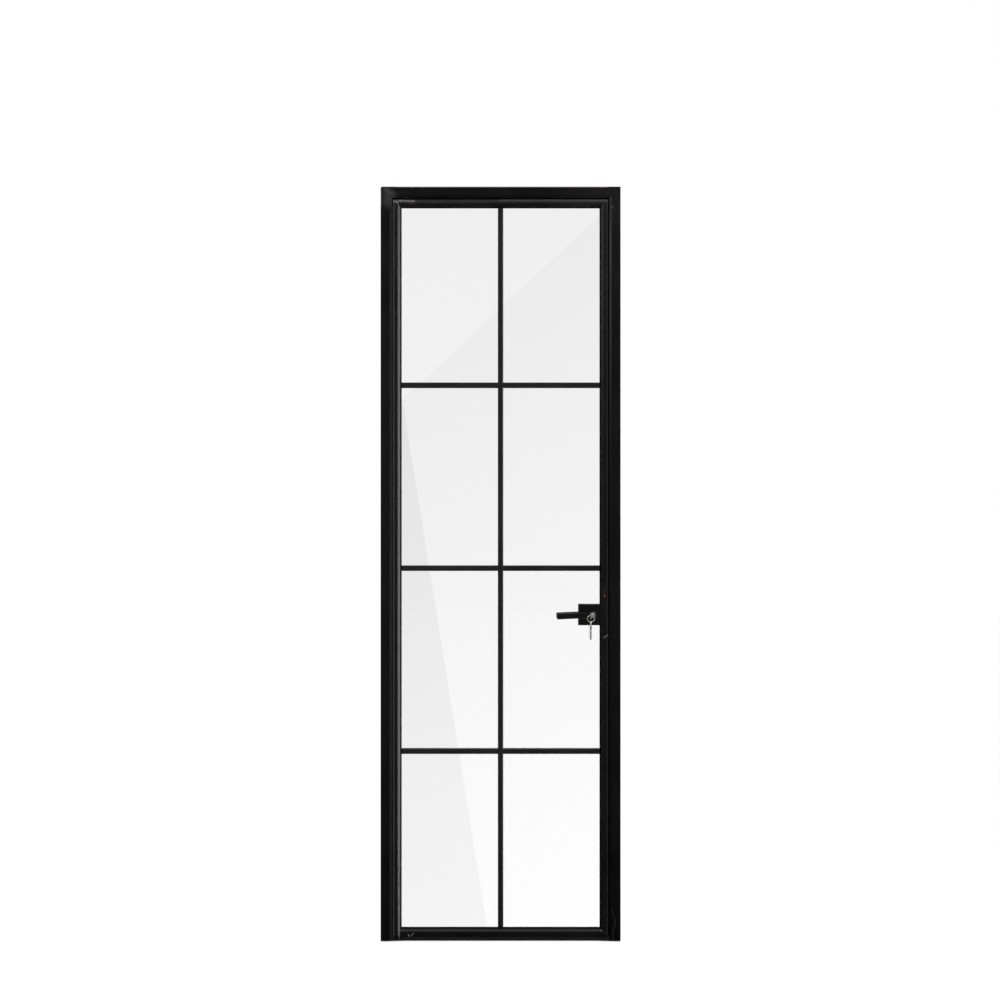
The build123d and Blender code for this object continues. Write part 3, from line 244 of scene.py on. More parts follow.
def vector_calc(tree, operation, *values, result=0):
    """One Vector Math node's result: output 0 is a vector, output 1 a number."""
    return put(tree, "ShaderNodeVectorMath", dict(enumerate(values)), operation=operation).outputs[result]


def blend_colors(tree, factor, first, second):
    """Goes from the first colour to the second by a factor."""
    mix = put(tree, "ShaderNodeMix", data_type="RGBA")
    for index, value in ((0, factor), (6, first), (7, second)):
        feed(tree, mix.inputs[index], value)
    return mix.outputs[2]


def ease(tree, value, low, high, to_low=0.0, to_high=1.0):
    """A smooth step of a value between two limits."""
    return put(tree, "ShaderNodeMapRange",
               {"Value": value, "From Min": low, "From Max": high, "To Min": to_low, "To Max": to_high},
               interpolation_type="SMOOTHSTEP").outputs[0]


def noise(tree, place, scale, detail=2.0, roughness=0.5):
    """Noise on a place: the factor from 0 to 1."""
    return put(tree, "ShaderNodeTexNoise",
               {"Vector": place, "Scale": scale, "Detail": detail, "Roughness": roughness}).outputs[0]


def object_place(tree):
    """The place on the object, in metres."""
    return put(tree, "ShaderNodeTexCoord").outputs["Object"]


def surface_normal(tree):
    """The way the surface faces."""
    return put(tree, "ShaderNodeNewGeometry").outputs["Normal"]


def part_of(tree, vector, axis):
    """One part of a vector: 0 across, 1 back, 2 up."""
    return put(tree, "ShaderNodeSeparateXYZ", {0: vector}).outputs[axis]


def opaque(color):
    """A colour with full alpha."""
    return (*color, 1.0)


def new_group(name, inputs, outputs):
    """A shader node group with number inputs (name, default) or vector ones, and its outputs."""
    tree = bpy.data.node_groups.new(name, "ShaderNodeTree")
    for label, default in inputs:
        kind = "NodeSocketFloat" if isinstance(default, float) else "NodeSocketVector"
        tree.interface.new_socket(label, in_out="INPUT", socket_type=kind).default_value = default
    for label in outputs:
        tree.interface.new_socket(label, in_out="OUTPUT", socket_type="NodeSocketFloat")
    return tree, tree.nodes.new("NodeGroupInput"), tree.nodes.new("NodeGroupOutput")


def use_group(tree, name, inputs=None):
    """Places a node group in a material."""
    made = tree.nodes.new("ShaderNodeGroup")
    made.node_tree = bpy.data.node_groups[name]
    for label, value in (inputs or {}).items():
        feed(tree, made.inputs[label], value)
    return made.outputs


# Shared effects: how dense the coat's light specks are, and how finely and far a scratch's edge wavers
SPECK_SCALE = 260.0
WAVER_SCALE = 700.0
WAVER_REACH = 4.0


def grain_group():
    """Dimples, slow mottling and sparse light specks of a powder coat."""
    tree, given, out = new_group("Coat grain", [("Grain Size", 0.001), ("Mottle Size", 0.15)],
                                 ["Height", "Mottle", "Specks"])
    place = object_place(tree)
    fine = calc(tree, "DIVIDE", 1.0, given.outputs["Grain Size"])
    coarse = calc(tree, "DIVIDE", 1.0, given.outputs["Mottle Size"])
    tree.links.new(noise(tree, place, fine, detail=1.0), out.inputs["Height"])
    slow = noise(tree, place, coarse, detail=4.0, roughness=0.6)
    tree.links.new(ease(tree, slow, low=0.3, high=0.7), out.inputs["Mottle"])
    cells = put(tree, "ShaderNodeTexVoronoi", {"Vector": place, "Scale": SPECK_SCALE})
    dot = ease(tree, cells.outputs["Distance"], low=0.1, high=0.02)
    chosen = ease(tree, put(tree, "ShaderNodeSeparateColor", {0: cells.outputs["Color"]}).outputs[0],
                  low=0.965, high=0.99)
    tree.links.new(calc(tree, "MULTIPLY", dot, chosen), out.inputs["Specks"])


def edge_group():
    """A mask of the outer edges, broken up by noise, where a coat is rubbed."""
    tree, given, out = new_group("Edge wear", [("Width", 0.0006), ("Breakup", 90.0)], ["Mask"])
    rounded = put(tree, "ShaderNodeBevel", {"Radius": given.outputs["Width"]}, samples=6)
    facing = vector_calc(tree, "DOT_PRODUCT", rounded.outputs[0], surface_normal(tree), result=1)
    edge = ease(tree, facing, low=0.995, high=0.86)
    broken = noise(tree, object_place(tree), given.outputs["Breakup"], detail=3.0, roughness=0.6)
    patches = ease(tree, broken, low=0.42, high=0.66)
    tree.links.new(calc(tree, "MULTIPLY", edge, patches), out.inputs["Mask"])


def scratch_group():
    """A mask round a straight line between two places, on the outer face only unless asked."""
    tree, given, out = new_group(
        "Scratch", [("Start", Vector((0, 0, 0))), ("End", Vector((0, 0, 1))), ("Width", 0.001),
                    ("Ragged", 0.4), ("All Sides", 0.0)], ["Mask"])
    flat = (1, 0, 1)
    place = vector_calc(tree, "MULTIPLY", object_place(tree), flat)
    start = vector_calc(tree, "MULTIPLY", given.outputs["Start"], flat)
    along = vector_calc(tree, "SUBTRACT", given.outputs["End"], start)
    along = vector_calc(tree, "MULTIPLY", along, flat)
    reach = vector_calc(tree, "SUBTRACT", place, start)
    share = calc(tree, "DIVIDE", vector_calc(tree, "DOT_PRODUCT", reach, along, result=1),
                 vector_calc(tree, "DOT_PRODUCT", along, along, result=1), clamp=True)
    step = put(tree, "ShaderNodeVectorMath", {0: along, "Scale": share}, operation="SCALE").outputs[0]
    away = vector_calc(tree, "LENGTH", vector_calc(tree, "SUBTRACT", reach, step), result=1)
    waver = calc(tree, "SUBTRACT", noise(tree, place, WAVER_SCALE, detail=3.0), 0.5)
    reach_out = calc(tree, "MULTIPLY", given.outputs["Ragged"], WAVER_REACH)
    width = calc(tree, "MULTIPLY", given.outputs["Width"],
                 calc(tree, "MULTIPLY_ADD", waver, reach_out, 1.0))
    line = ease(tree, away, 0.0, width, to_low=1.0, to_high=0.0)
    outer_face = ease(tree, part_of(tree, surface_normal(tree), 1), low=0.0, high=-0.5)
    shown = calc(tree, "MAXIMUM", outer_face, given.outputs["All Sides"])
    tree.links.new(calc(tree, "MULTIPLY", line, shown), out.inputs["Mask"])


def dust_group():
    """Dust on faces that look up, and a grey-brown film that thins out above the floor."""
    tree, given, out = new_group("Dust", [("Film Height", 0.02), ("Ledge", 0.5)], ["Mask"])
    place = object_place(tree)
    height = calc(tree, "DIVIDE", part_of(tree, place, 2), given.outputs["Film Height"], clamp=True)
    film = calc(tree, "SUBTRACT", 1.0, height)
    upward = ease(tree, part_of(tree, surface_normal(tree), 2), low=0.5, high=0.95)
    ledge = calc(tree, "MULTIPLY", upward, given.outputs["Ledge"])
    patches = ease(tree, noise(tree, place, scale=60.0, detail=4.0, roughness=0.6), low=0.25, high=0.75)
    both = calc(tree, "MAXIMUM", film, ledge)
    tree.links.new(calc(tree, "MULTIPLY", both, patches), out.inputs["Mask"])


def brushed_group():
    """Fine lines drawn along one direction: the stretch is small along the lines."""
    tree, given, out = new_group("Brushed lines", [("Stretch", Vector((1, 1, 1))), ("Line Size", 0.0004)],
                                 ["Height", "Streak"])
    stretched = vector_calc(tree, "MULTIPLY", object_place(tree), given.outputs["Stretch"])
    fine = calc(tree, "DIVIDE", 1.0, given.outputs["Line Size"])
    lines = noise(tree, stretched, fine, roughness=0.6)
    tree.links.new(lines, out.inputs["Height"])
    tree.links.new(ease(tree, lines, low=0.3, high=0.7), out.inputs["Streak"])


# Materials

def new_material(name):
    """A material with its Principled shader."""
    made = bpy.data.materials.new(name)
    made.use_nodes = True
    tree = made.node_tree
    return made, tree, tree.nodes["Principled BSDF"]


def bump(tree, shader, height, strength, distance):
    """Feeds a height into the shader's normal."""
    made = put(tree, "ShaderNodeBump", {"Height": height, "Strength": strength, "Distance": distance})
    tree.links.new(made.outputs[0], shader.inputs["Normal"])


def photo_place(pixel):
    """The place on the door's outer face at a pixel of the photograph."""
    across, down = pixel
    return Vector(((across - DOOR_MIDDLE_PIXEL) * PIXEL, 0, (FLOOR_PIXEL - down) * PIXEL))


# Powder coat: its gloss, its mottling, how strongly each effect tints it and how much each one roughens it
COAT_SPECULAR = 0.32
MOTTLE_GAIN = 1.5
SPECK_TINT = 0.35
WEAR_TINT = 0.5
DUST_TINT = 0.35
LEDGE_DUST = 0.12
MOTTLE_ROUGHNESS = 0.08
DUST_ROUGHNESS = 0.3

# Bare metal: the tone between its brushed lines, its tarnish, how much each roughens it, and worn edges
DULL_SHARE = 0.72
TARNISH_TINT = 0.5
STREAK_ROUGHNESS = 0.12
TARNISH_ROUGHNESS = 0.15
NICKEL_METALLIC = 0.85
WORN_BREAKUP = 400.0
WORN_WIDTH = 0.4 * MM

# Rubber and plastic: their mottling, how much it roughens them, and their dust
PALE_GAIN = 1.7
PALE_ROUGHNESS = 0.1
LOW_DUST = 15 * MM
SEAL_LEDGE_DUST = 0.4
PALE_PATCH = 50 * MM

# Marks on the outer face, scratches and painted light alike: start and end pixels, width in metres, raggedness,
# strength
RAIL_TICK = [((408.2, 935.2), (409.8, 937.8), 0.0016, 0.3, 0.8),
             ((409.8, 937.8), (413.6, 933.6), 0.0013, 0.4, 0.6)]
RAIL_SPOT = [((601.2, 931.2), (601.4, 931.7), 0.0024, 0.2, 0.35)]
# Painted glint: a short pale slash on the lock stile just below the lock covers.
STILE_GLINT = [((604, 638), (607.8, 635.2), 0.0017, 0.4, 0.6)]
TOP_RUB = [((392.4, 200.2), (397, 201.6), 0.004, 1.0, 0.4), ((396, 201), (398, 203.6), 0.003, 1.0, 0.35),
           ((398.5, 200), (413, 200.8), 0.0045, 1.2, 0.35), ((413.2, 200.6), (413.8, 200.8), 0.003, 0.3, 0.5),
           ((400.2, 200.6), (401.2, 200.8), 0.003, 0.3, 0.4)]
TOP_RUST = [((409, 203), (415, 203.2), 0.003, 0.6, 0.1)]
# Painted highlights along the outer edges of both stiles, brighter on the hinge side.
STILE_EDGE_HIGHLIGHT = [((392.9, 197), (392.9, 940), 0.007, 0.1, 0.13),
              ((607.4, 200), (607.4, 940), 0.0026, 0.3, 0.05)]
# Painted highlights along the top rail's upper edge, stronger towards the lock side.
TOP_RAIL_HIGHLIGHT = [((394, 200.8), (608, 200.4), 0.008, 0.3, 0.06),
             ((500, 199.6), (608, 199.6), 0.005, 0.3, 0.1)]
# A painted reddish glint on the lock stile just above the lock covers, with a faint reddish streak above it.
RED_GLINT = [((604.5, 596.2), (604.7, 596.7), 0.003, 0.2, 0.9), ((604.6, 590), (604.5, 595), 0.0028, 0.4, 0.1)]
RED_STREAKS = [((604.3, 910), (605.2, 915), 0.002, 0.6, 0.07), ((604, 931.5), (605, 934.5), 0.002, 0.6, 0.08)]
# Painted reflection on the hinge stile's bevel, growing stronger towards the floor.
BEVEL_REFLECTION = [((398.8, 872), (398.8, 889), 0.0046, 0.1, 0.1),
             ((398.8, 889), (398.8, 908), 0.0046, 0.1, 0.24),
             ((398.8, 908), (398.8, 939.5), 0.0046, 0.1, 0.38)]
# Painted reflection: a pale brownish band along the foot of the leaf, where the bottom flange mirrors the floor.
FOOT_REFLECTION = [((403, 939.2), (610, 939.2), 0.006, 0.5, 0.22)]
HEAD_SPOT = [((405.8, 197.3), (406.3, 197.7), 0.0018, 0.3, 0.5)]
JAMB_SPOT = [((612.3, 206.4), (612.7, 207.6), 0.0022, 0.3, 0.35),
             ((612.4, 217.7), (612.6, 218.3), 0.002, 0.3, 0.25)]
# Painted sheen: the hinge jamb and the head are lighter near the corner where they meet.
JAMB_SHEEN = [((388, 191), (388, 202), 0.024, 0.1, 0.07)]
HEAD_SHEEN = [((386, 190), (392, 196), 0.021, 0.1, 0.09)]
JAMB_LINE = [((611.8, 909), (613.6, 913), 0.0013, 0.5, 0.08), ((615.2, 920), (615, 925), 0.0013, 0.5, 0.1),
             ((615, 925), (613, 930.5), 0.0013, 0.5, 0.1), ((613, 930.5), (612.7, 938), 0.0013, 0.5, 0.09)]
JAMB_RUST = [((612.8, 913), (615.2, 920), 0.0022, 0.5, 0.07), ((613, 938.5), (613.2, 940), 0.0016, 0.3, 0.3)]
HEAD_FRINGE = [((399, 186.9), (607, 186.9), 0.0024, 0.6, 1.0), ((381, 190), (381, 206), 0.0016, 0.5, 0.8)]
HEAD_RUST = [((395.5, 187.2), (398.5, 187.2), 0.0024, 0.5, 0.5),
             ((411, 187.2), (413, 187.2), 0.0024, 0.5, 0.6),
             ((420.5, 187.2), (423.5, 187.2), 0.0024, 0.5, 0.6),
             ((599, 187.2), (605, 187.2), 0.0024, 0.5, 0.5)]
# Painted highlight: a thin light line down the right end of the outer lever.
LEVER_END_HIGHLIGHT = [((594.8, 611.5), (594.8, 618.5), 0.0028, 0.2, 0.07)]
# Painted shade: dark bands across the spare keys at two of their cuts, and one down their lower end.
KEY_CUT_SHADE = [((588, 627.9), (592, 627.9), 0.0062, 0.2, 1.0), ((588, 632.2), (592, 632.2), 0.005, 0.2, 1.0),
            ((590, 635.2), (590, 640), 0.008, 0.2, 0.8)]


def scratch_mask(tree, mark, all_sides=0.0):
    """Where one mark shows, given its start and end pixels, width and raggedness."""
    start, end, width, ragged = mark
    return use_group(tree, "Scratch", {"Start": photo_place(start), "End": photo_place(end), "Width": width,
                                       "Ragged": ragged, "All Sides": all_sides})["Mask"]


def coat_material(name, color, roughness, dull_lip=0.0, marks=(), rust_and_glints=(), dust_and_reflection=()):
    """Satin powder coat with rubbed edges, dust and the marks that the photograph shows; some of them are painted
    highlights, glints, sheen and a painted floor reflection.
    """
    coat = bpy.context.scene.door_coat
    made, tree, shader = new_material(name)
    grain = use_group(tree, "Coat grain", {"Grain Size": coat.grain_size})
    edge = use_group(tree, "Edge wear", {"Width": coat.wear_width})["Mask"]
    dust = use_group(tree, "Dust", {"Film Height": MM, "Ledge": LEDGE_DUST})["Mask"]
    shade = tuple(part * MOTTLE_GAIN for part in color)
    skin = blend_colors(tree, grain["Mottle"], opaque(color), opaque(shade))
    for mask, strength, tint in ((grain["Specks"], SPECK_TINT, coat.dust_and_reflection_color),
                                 (edge, WEAR_TINT, coat.worn_color), (dust, DUST_TINT, coat.dust_and_reflection_color)):
        skin = blend_colors(tree, calc(tree, "MULTIPLY", mask, strength), skin, opaque(tint))
    # Some of these are painted light: highlights, glints and sheen in the light colour, a reddish glint, and the
    # floor reflection in the dust colour.
    for group, tint in ((dust_and_reflection, coat.dust_and_reflection_color), (marks, coat.mark_color), (rust_and_glints, coat.rust_and_glint_color)):
        for *mark, strength in group:
            shown = calc(tree, "MULTIPLY", scratch_mask(tree, mark), strength)
            skin = blend_colors(tree, shown, skin, opaque(tint))
    tree.links.new(skin, shader.inputs["Base Color"])
    rough = calc(tree, "MULTIPLY_ADD", grain["Mottle"], MOTTLE_ROUGHNESS, roughness)
    rough = calc(tree, "MULTIPLY_ADD", dust, DUST_ROUGHNESS, rough, clamp=True)
    if dull_lip:
        lip = ease(tree, part_of(tree, surface_normal(tree), 0), low=0.3, high=0.5)
        rough = calc(tree, "MULTIPLY_ADD", lip, dull_lip, rough, clamp=True)
    tree.links.new(rough, shader.inputs["Roughness"])
    shader.inputs["Specular IOR Level"].default_value = COAT_SPECULAR
    bump(tree, shader, grain["Height"], strength=0.12, distance=0.2 * MM)
    return made


def metal_material(name, color, roughness, stretch, metallic=1.0, worn=None, shaded=()):
    """Bare or plated metal with brushed lines, another metal where its edges are worn, and painted shade in dark
    bands where given.
    """
    made, tree, shader = new_material(name)
    lines = use_group(tree, "Brushed lines", {"Stretch": stretch})
    dull = tuple(part * DULL_SHARE for part in color)
    skin = blend_colors(tree, lines["Streak"], opaque(dull), opaque(color))
    cloudy = noise(tree, object_place(tree), scale=220.0, detail=4.0, roughness=0.65)
    tarnish = ease(tree, cloudy, low=0.5, high=0.75)
    skin = blend_colors(tree, calc(tree, "MULTIPLY", tarnish, TARNISH_TINT), skin, opaque(dull))
    if worn:
        edge = use_group(tree, "Edge wear", {"Width": WORN_WIDTH, "Breakup": WORN_BREAKUP})["Mask"]
        skin = blend_colors(tree, edge, skin, opaque(worn))
    shader.inputs["Metallic"].default_value = metallic
    unshaded_metallic = metallic
    # Painted shade: each given band darkens the colour to black and lowers the metallic.
    for *mark, strength in shaded:
        painted_shade = calc(tree, "MULTIPLY_ADD", scratch_mask(tree, mark, all_sides=1.0), -strength, 1.0)
        skin = blend_colors(tree, painted_shade, BLACK, skin)
        unshaded_metallic = calc(tree, "MULTIPLY", unshaded_metallic, painted_shade)
        tree.links.new(unshaded_metallic, shader.inputs["Metallic"])
    tree.links.new(skin, shader.inputs["Base Color"])
    rough = calc(tree, "MULTIPLY_ADD", lines["Streak"], STREAK_ROUGHNESS, roughness)
    rough = calc(tree, "MULTIPLY_ADD", tarnish, TARNISH_ROUGHNESS, rough, clamp=True)
    tree.links.new(rough, shader.inputs["Roughness"])
    bump(tree, shader, lines["Height"], strength=0.15, distance=0.1 * MM)
    return made


def matt_material(name, color, roughness, gloss, grain_size, dust_share):
    """Rubber or moulded plastic: matt, finely grained and a little dusty."""
    coat = bpy.context.scene.door_coat
    made, tree, shader = new_material(name)
    grain = use_group(tree, "Coat grain", {"Grain Size": grain_size, "Mottle Size": PALE_PATCH})
    dust = use_group(tree, "Dust", {"Film Height": LOW_DUST, "Ledge": SEAL_LEDGE_DUST})["Mask"]
    pale = tuple(part * PALE_GAIN for part in color)
    skin = blend_colors(tree, grain["Mottle"], opaque(color), opaque(pale))
    skin = blend_colors(tree, calc(tree, "MULTIPLY", dust, dust_share), skin, opaque(coat.dust_and_reflection_color))
    tree.links.new(skin, shader.inputs["Base Color"])
    rough = calc(tree, "MULTIPLY_ADD", grain["Mottle"], PALE_ROUGHNESS, roughness, clamp=True)
    tree.links.new(rough, shader.inputs["Roughness"])
    shader.inputs["Specular IOR Level"].default_value = gloss
    bump(tree, shader, grain["Height"], strength=0.2, distance=0.1 * MM)
    return made


def glass_material(name, color):
    """Clear toughened glass: its faces carry the slow waves of the rollers it was made on."""
    made, tree, shader = new_material(name)
    waves = noise(tree, object_place(tree), scale=2.5, detail=1.0)
    shader.inputs["Base Color"].default_value = opaque(color)
    shader.inputs["Transmission Weight"].default_value = 1.0
    shader.inputs["IOR"].default_value = 1.5
    shader.inputs["Roughness"].default_value = 0.0
    bump(tree, shader, waves, strength=1.0, distance=0.1 * MM)
    return made


def paint(node, material):
    """Gives a carried-over piece its material."""
    mesh = NODES[node].data
    mesh.materials.clear()
    mesh.materials.append(material)


# Mesh helpers

WELD = 0.002 * MM
FLAT = math.radians(1)
SHARP = math.radians(28)
SHADE_BREAK = math.radians(50)


def finish_mesh(mesh, name, material, body, slot, replaced=()):
    """Turns a bmesh into a piece that rides on a body."""
    data = bpy.data.meshes.new(name)
    for face in mesh.faces:
        face.smooth = True
    for edge in mesh.edges:
        edge.smooth = not (edge.is_manifold and edge.calc_face_angle() > SHADE_BREAK)
    mesh.to_mesh(data)
    mesh.free()
    data.materials.append(material)
    piece = bpy.data.objects.new(name, data)
    bpy.context.scene.collection.objects.link(piece)
    weighted = piece.modifiers.new("Flat faces stay flat", "WEIGHTED_NORMAL")
    weighted.keep_sharp = True
    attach(piece, body)
    if replaced:
        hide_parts(*replaced)
    return piece


def softened(node, width, segments, material):
    """A piece with its edges rounded: it stands for the plain one of the same shape."""
    mesh = bmesh.new()
    mesh.from_mesh(NODES[node].data)
    bmesh.ops.remove_doubles(mesh, verts=mesh.verts, dist=WELD)
    bmesh.ops.dissolve_limit(mesh, angle_limit=FLAT, verts=mesh.verts, edges=mesh.edges)
    sharp = [edge for edge in mesh.edges if edge.is_manifold and edge.calc_face_angle() > SHARP]
    bmesh.ops.bevel(mesh, geom=sharp, offset=width, offset_type="OFFSET", segments=segments, profile=0.5,
                    affect="EDGES", clamp_overlap=True, material=-1)
    return finish_mesh(mesh, f"{node}_finished", material, BODY_OF[node], SLOT_OF[node], (node,))


def material_named(name):
    """A material that the finish operator made."""
    return bpy.data.materials[name]


class OBJECT_OT_door_finishes(bpy.types.Operator):
    """Make the shared effects and every material of the door"""

    bl_idname = "object.door_finishes"
    bl_label = "Make Finishes"

    def execute(self, context):
        """Builds the node groups first, then the materials that use them."""
        coat, fittings = context.scene.door_coat, context.scene.door_fittings
        for build in (grain_group, edge_group, scratch_group, dust_group, brushed_group):
            build()
        coat_material("Hinge jamb powder coat", coat.frame_color, coat.frame_roughness, dull_lip=0.5,
                      marks=JAMB_SHEEN, dust_and_reflection=HEAD_FRINGE)
        coat_material("Lock jamb powder coat", coat.frame_color, coat.frame_roughness,
                      marks=JAMB_SPOT + JAMB_LINE, rust_and_glints=JAMB_RUST)
        coat_material("Head powder coat", coat.frame_color, coat.frame_roughness, marks=HEAD_SPOT + HEAD_SHEEN,
                      rust_and_glints=HEAD_RUST, dust_and_reflection=HEAD_FRINGE)
        coat_material("Leaf powder coat", coat.leaf_color, coat.leaf_roughness,
                      marks=RAIL_TICK + RAIL_SPOT + STILE_GLINT + TOP_RUB + STILE_EDGE_HIGHLIGHT + TOP_RAIL_HIGHLIGHT + BEVEL_REFLECTION,
                      rust_and_glints=RED_GLINT + RED_STREAKS + TOP_RUST, dust_and_reflection=FOOT_REFLECTION)
        coat_material("Bar powder coat", coat.bar_color, coat.frame_roughness)
        coat_material("Hardware coat", coat.hardware_color, coat.leaf_roughness, marks=LEVER_END_HIGHLIGHT)
        metal_material("Zinc-plated steel", fittings.steel_color, roughness=0.3, stretch=Vector((1, 1, 0.05)))
        for name, cuts in (("Worn nickel", ()), ("Spare key nickel", KEY_CUT_SHADE)):
            metal_material(name, fittings.nickel_color, roughness=0.3, stretch=Vector((1, 1, 0.1)),
                           metallic=NICKEL_METALLIC, worn=fittings.brass_color, shaded=cuts)
        metal_material("Mill aluminium", fittings.aluminium_color, roughness=0.4,
                       stretch=Vector((0.05, 1, 0.05)))
        matt_material("Seal rubber", fittings.rubber_color, roughness=0.75, gloss=0.04,
                      grain_size=0.6 * MM, dust_share=0.1)
        matt_material("Black plastic", fittings.plastic_color, roughness=0.5, gloss=0.3,
                      grain_size=0.8 * MM, dust_share=0.15)
        glass_material("Clear glass", fittings.glass_color)
        return {"FINISHED"}


class OBJECT_OT_door_profiles(bpy.types.Operator):
    """Round the edges of the frame, the leaf, its beads and its bars"""

    bl_idname = "object.door_profiles"
    bl_label = "Finish Profiles"

    def execute(self, context):
        """Each profile stays one piece; the rounded mitres leave a fine joint line."""
        fittings = context.scene.door_fittings
        finishes = dict(FRAME_PROFILES)
        finishes.update(dict.fromkeys(LEAF_PROFILES, "Leaf powder coat"))
        finishes.update(dict.fromkeys(BEADS + BARS, "Bar powder coat"))
        for name, finish in finishes.items():
            softened(name, fittings.profile_edge, fittings.edge_segments, material_named(finish))
        return {"FINISHED"}


class OBJECT_OT_door_glazing(bpy.types.Operator):
    """Give the glass, the seals and the pieces hidden in the profiles their materials"""

    bl_idname = "object.door_glazing"
    bl_label = "Finish Glass and Seals"

    def execute(self, context):
        """These pieces keep their shapes."""
        paint("glass_pane", material_named("Clear glass"))
        for names, material in ((SEALS, "Seal rubber"), (CLEATS, "Mill aluminium"),
                                (PLASTICS, "Black plastic"), (HIDDEN_STEEL, "Zinc-plated steel")):
            for name in names:
                paint(name, material_named(material))
        return {"FINISHED"}


class OBJECT_OT_door_hardware(bpy.types.Operator):
    """Round the edges of the hinges, the lock covers, the levers, the button and the latch"""

    bl_idname = "object.door_hardware"
    bl_label = "Finish Hardware"

    def execute(self, context):
        """The levers and covers share the hardware coat; the latch and its plates are bare steel."""
        fittings = context.scene.door_fittings
        for name in HINGE_HALVES + COVERS + LEVERS + ("turn_button",):
            softened(name, fittings.hardware_edge, fittings.edge_segments, material_named("Hardware coat"))
        for name in STEEL_PLATES:
            softened(name, fittings.hardware_edge / 2, fittings.edge_segments,
                     material_named("Zinc-plated steel"))
        spring = softened("latch_spring", fittings.hardware_edge / 4, fittings.edge_segments,
                          material_named("Zinc-plated steel"))
        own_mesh(spring)
        return {"FINISHED"}


# Hinge pins: a turned pin with a groove and a domed cap at each end
PIN_RADIUS = 4 * MM
PIN_CAP_RADIUS = 6.8 * MM
PIN_CAP_HEIGHT = 3 * MM
PIN_SIDES = 40
# The cap's underside as a share of its radius, its upright rim as one of its height, and its dome's steps
CAP_SEAT = 0.94
CAP_RIM = 0.3
DOME_ANGLES = (0, 22, 45, 67)


class OBJECT_OT_door_hinge_pins(bpy.types.Operator):
    """Turn the three hinge pins with their domed caps"""

    bl_idname = "object.door_hinge_pins"
    bl_label = "Turn Hinge Pins"

    def execute(self, context):
        """The pins stand on the leaf's joint axis, one through each hinge."""
        across, back, _ = JOINTS["leaf_swing"]["pos_m"]
        mesh = bmesh.new()
        for hinge in HINGES:
            low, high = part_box(f"{hinge}_frame_half")
            middle = (low.z + high.z) / 2
            half = (high.z - low.z) / 2
            dome = [(PIN_CAP_RADIUS * math.cos(step),
                     half + PIN_CAP_HEIGHT * (CAP_RIM + (1 - CAP_RIM) * math.sin(step)))
                    for step in map(math.radians, DOME_ANGLES)]
            upper = [(PIN_RADIUS, half), (PIN_CAP_RADIUS * CAP_SEAT, half)] + dome
            upper.append((0, half + PIN_CAP_HEIGHT))
            profile = [(radius, -height) for radius, height in reversed(upper)] + upper
            corners = [mesh.verts.new((across + radius, back, middle + height)) for radius, height in profile]
            edges = [mesh.edges.new(pair) for pair in zip(corners, corners[1:])]
            bmesh.ops.spin(mesh, geom=corners + edges, cent=(across, back, middle), axis=(0, 0, 1),
                           angle=math.tau, steps=PIN_SIDES, use_merge=True)
        bmesh.ops.remove_doubles(mesh, verts=mesh.verts, dist=WELD)
        bmesh.ops.recalc_face_normals(mesh, faces=mesh.faces)
        finish_mesh(mesh, "turned_hinge_pins", material_named("Hardware coat"), BODY_OF["hinge_pins"],
                    SLOT_OF["hinge_pins"], ("hinge_pins",))
        return {"FINISHED"}


# Screws: a countersunk head with a cross recess, in shares of the head's radius and of the cross
CROSS_REACH = 0.62
CROSS_CORNER = 0.2
CROSS_ARM = 0.5
SHANK_SHARE = 0.5
CROSS_DEPTH = 1.3 * MM
CROSS_TAPER = 0.55
HEAD_SIDES = 24


def loose_parts(mesh):
    """The groups of joined corners in a bmesh."""
    waiting = set(mesh.verts)
    while waiting:
        reached = [waiting.pop()]
        part = list(reached)
        while reached:
            corner = reached.pop()
            for edge in corner.link_edges:
                other = edge.other_vert(corner)
                if other in waiting:
                    waiting.remove(other)
                    reached.append(other)
                    part.append(other)
        yield [corner.co.copy() for corner in part]


def screw_places(node):
    """Where each screw of a node stands: its head's centre, its outward axis, its head radius and length."""
    mesh = bmesh.new()
    mesh.from_mesh(NODES[node].data)
    bmesh.ops.remove_doubles(mesh, verts=mesh.verts, dist=WELD)
    for corners in loose_parts(mesh):
        low = Vector([min(corner[axis] for corner in corners) for axis in range(3)])
        high = Vector([max(corner[axis] for corner in corners) for axis in range(3)])
        size = high - low
        middle = (low + high) / 2
        axis = max(range(3), key=lambda index: size[index])
        radius = min(size) / 2
        spread = {end: max((corner - middle).length for corner in corners
                           if abs(corner[axis] - end) < WELD) for end in (low[axis], high[axis])}
        end = max(spread, key=spread.get)
        outward = Vector((0, 0, 0))
        outward[axis] = 1 if end == high[axis] else -1
        centre = middle.copy()
        centre[axis] = end
        yield centre, outward, radius, size[axis]
    mesh.free()


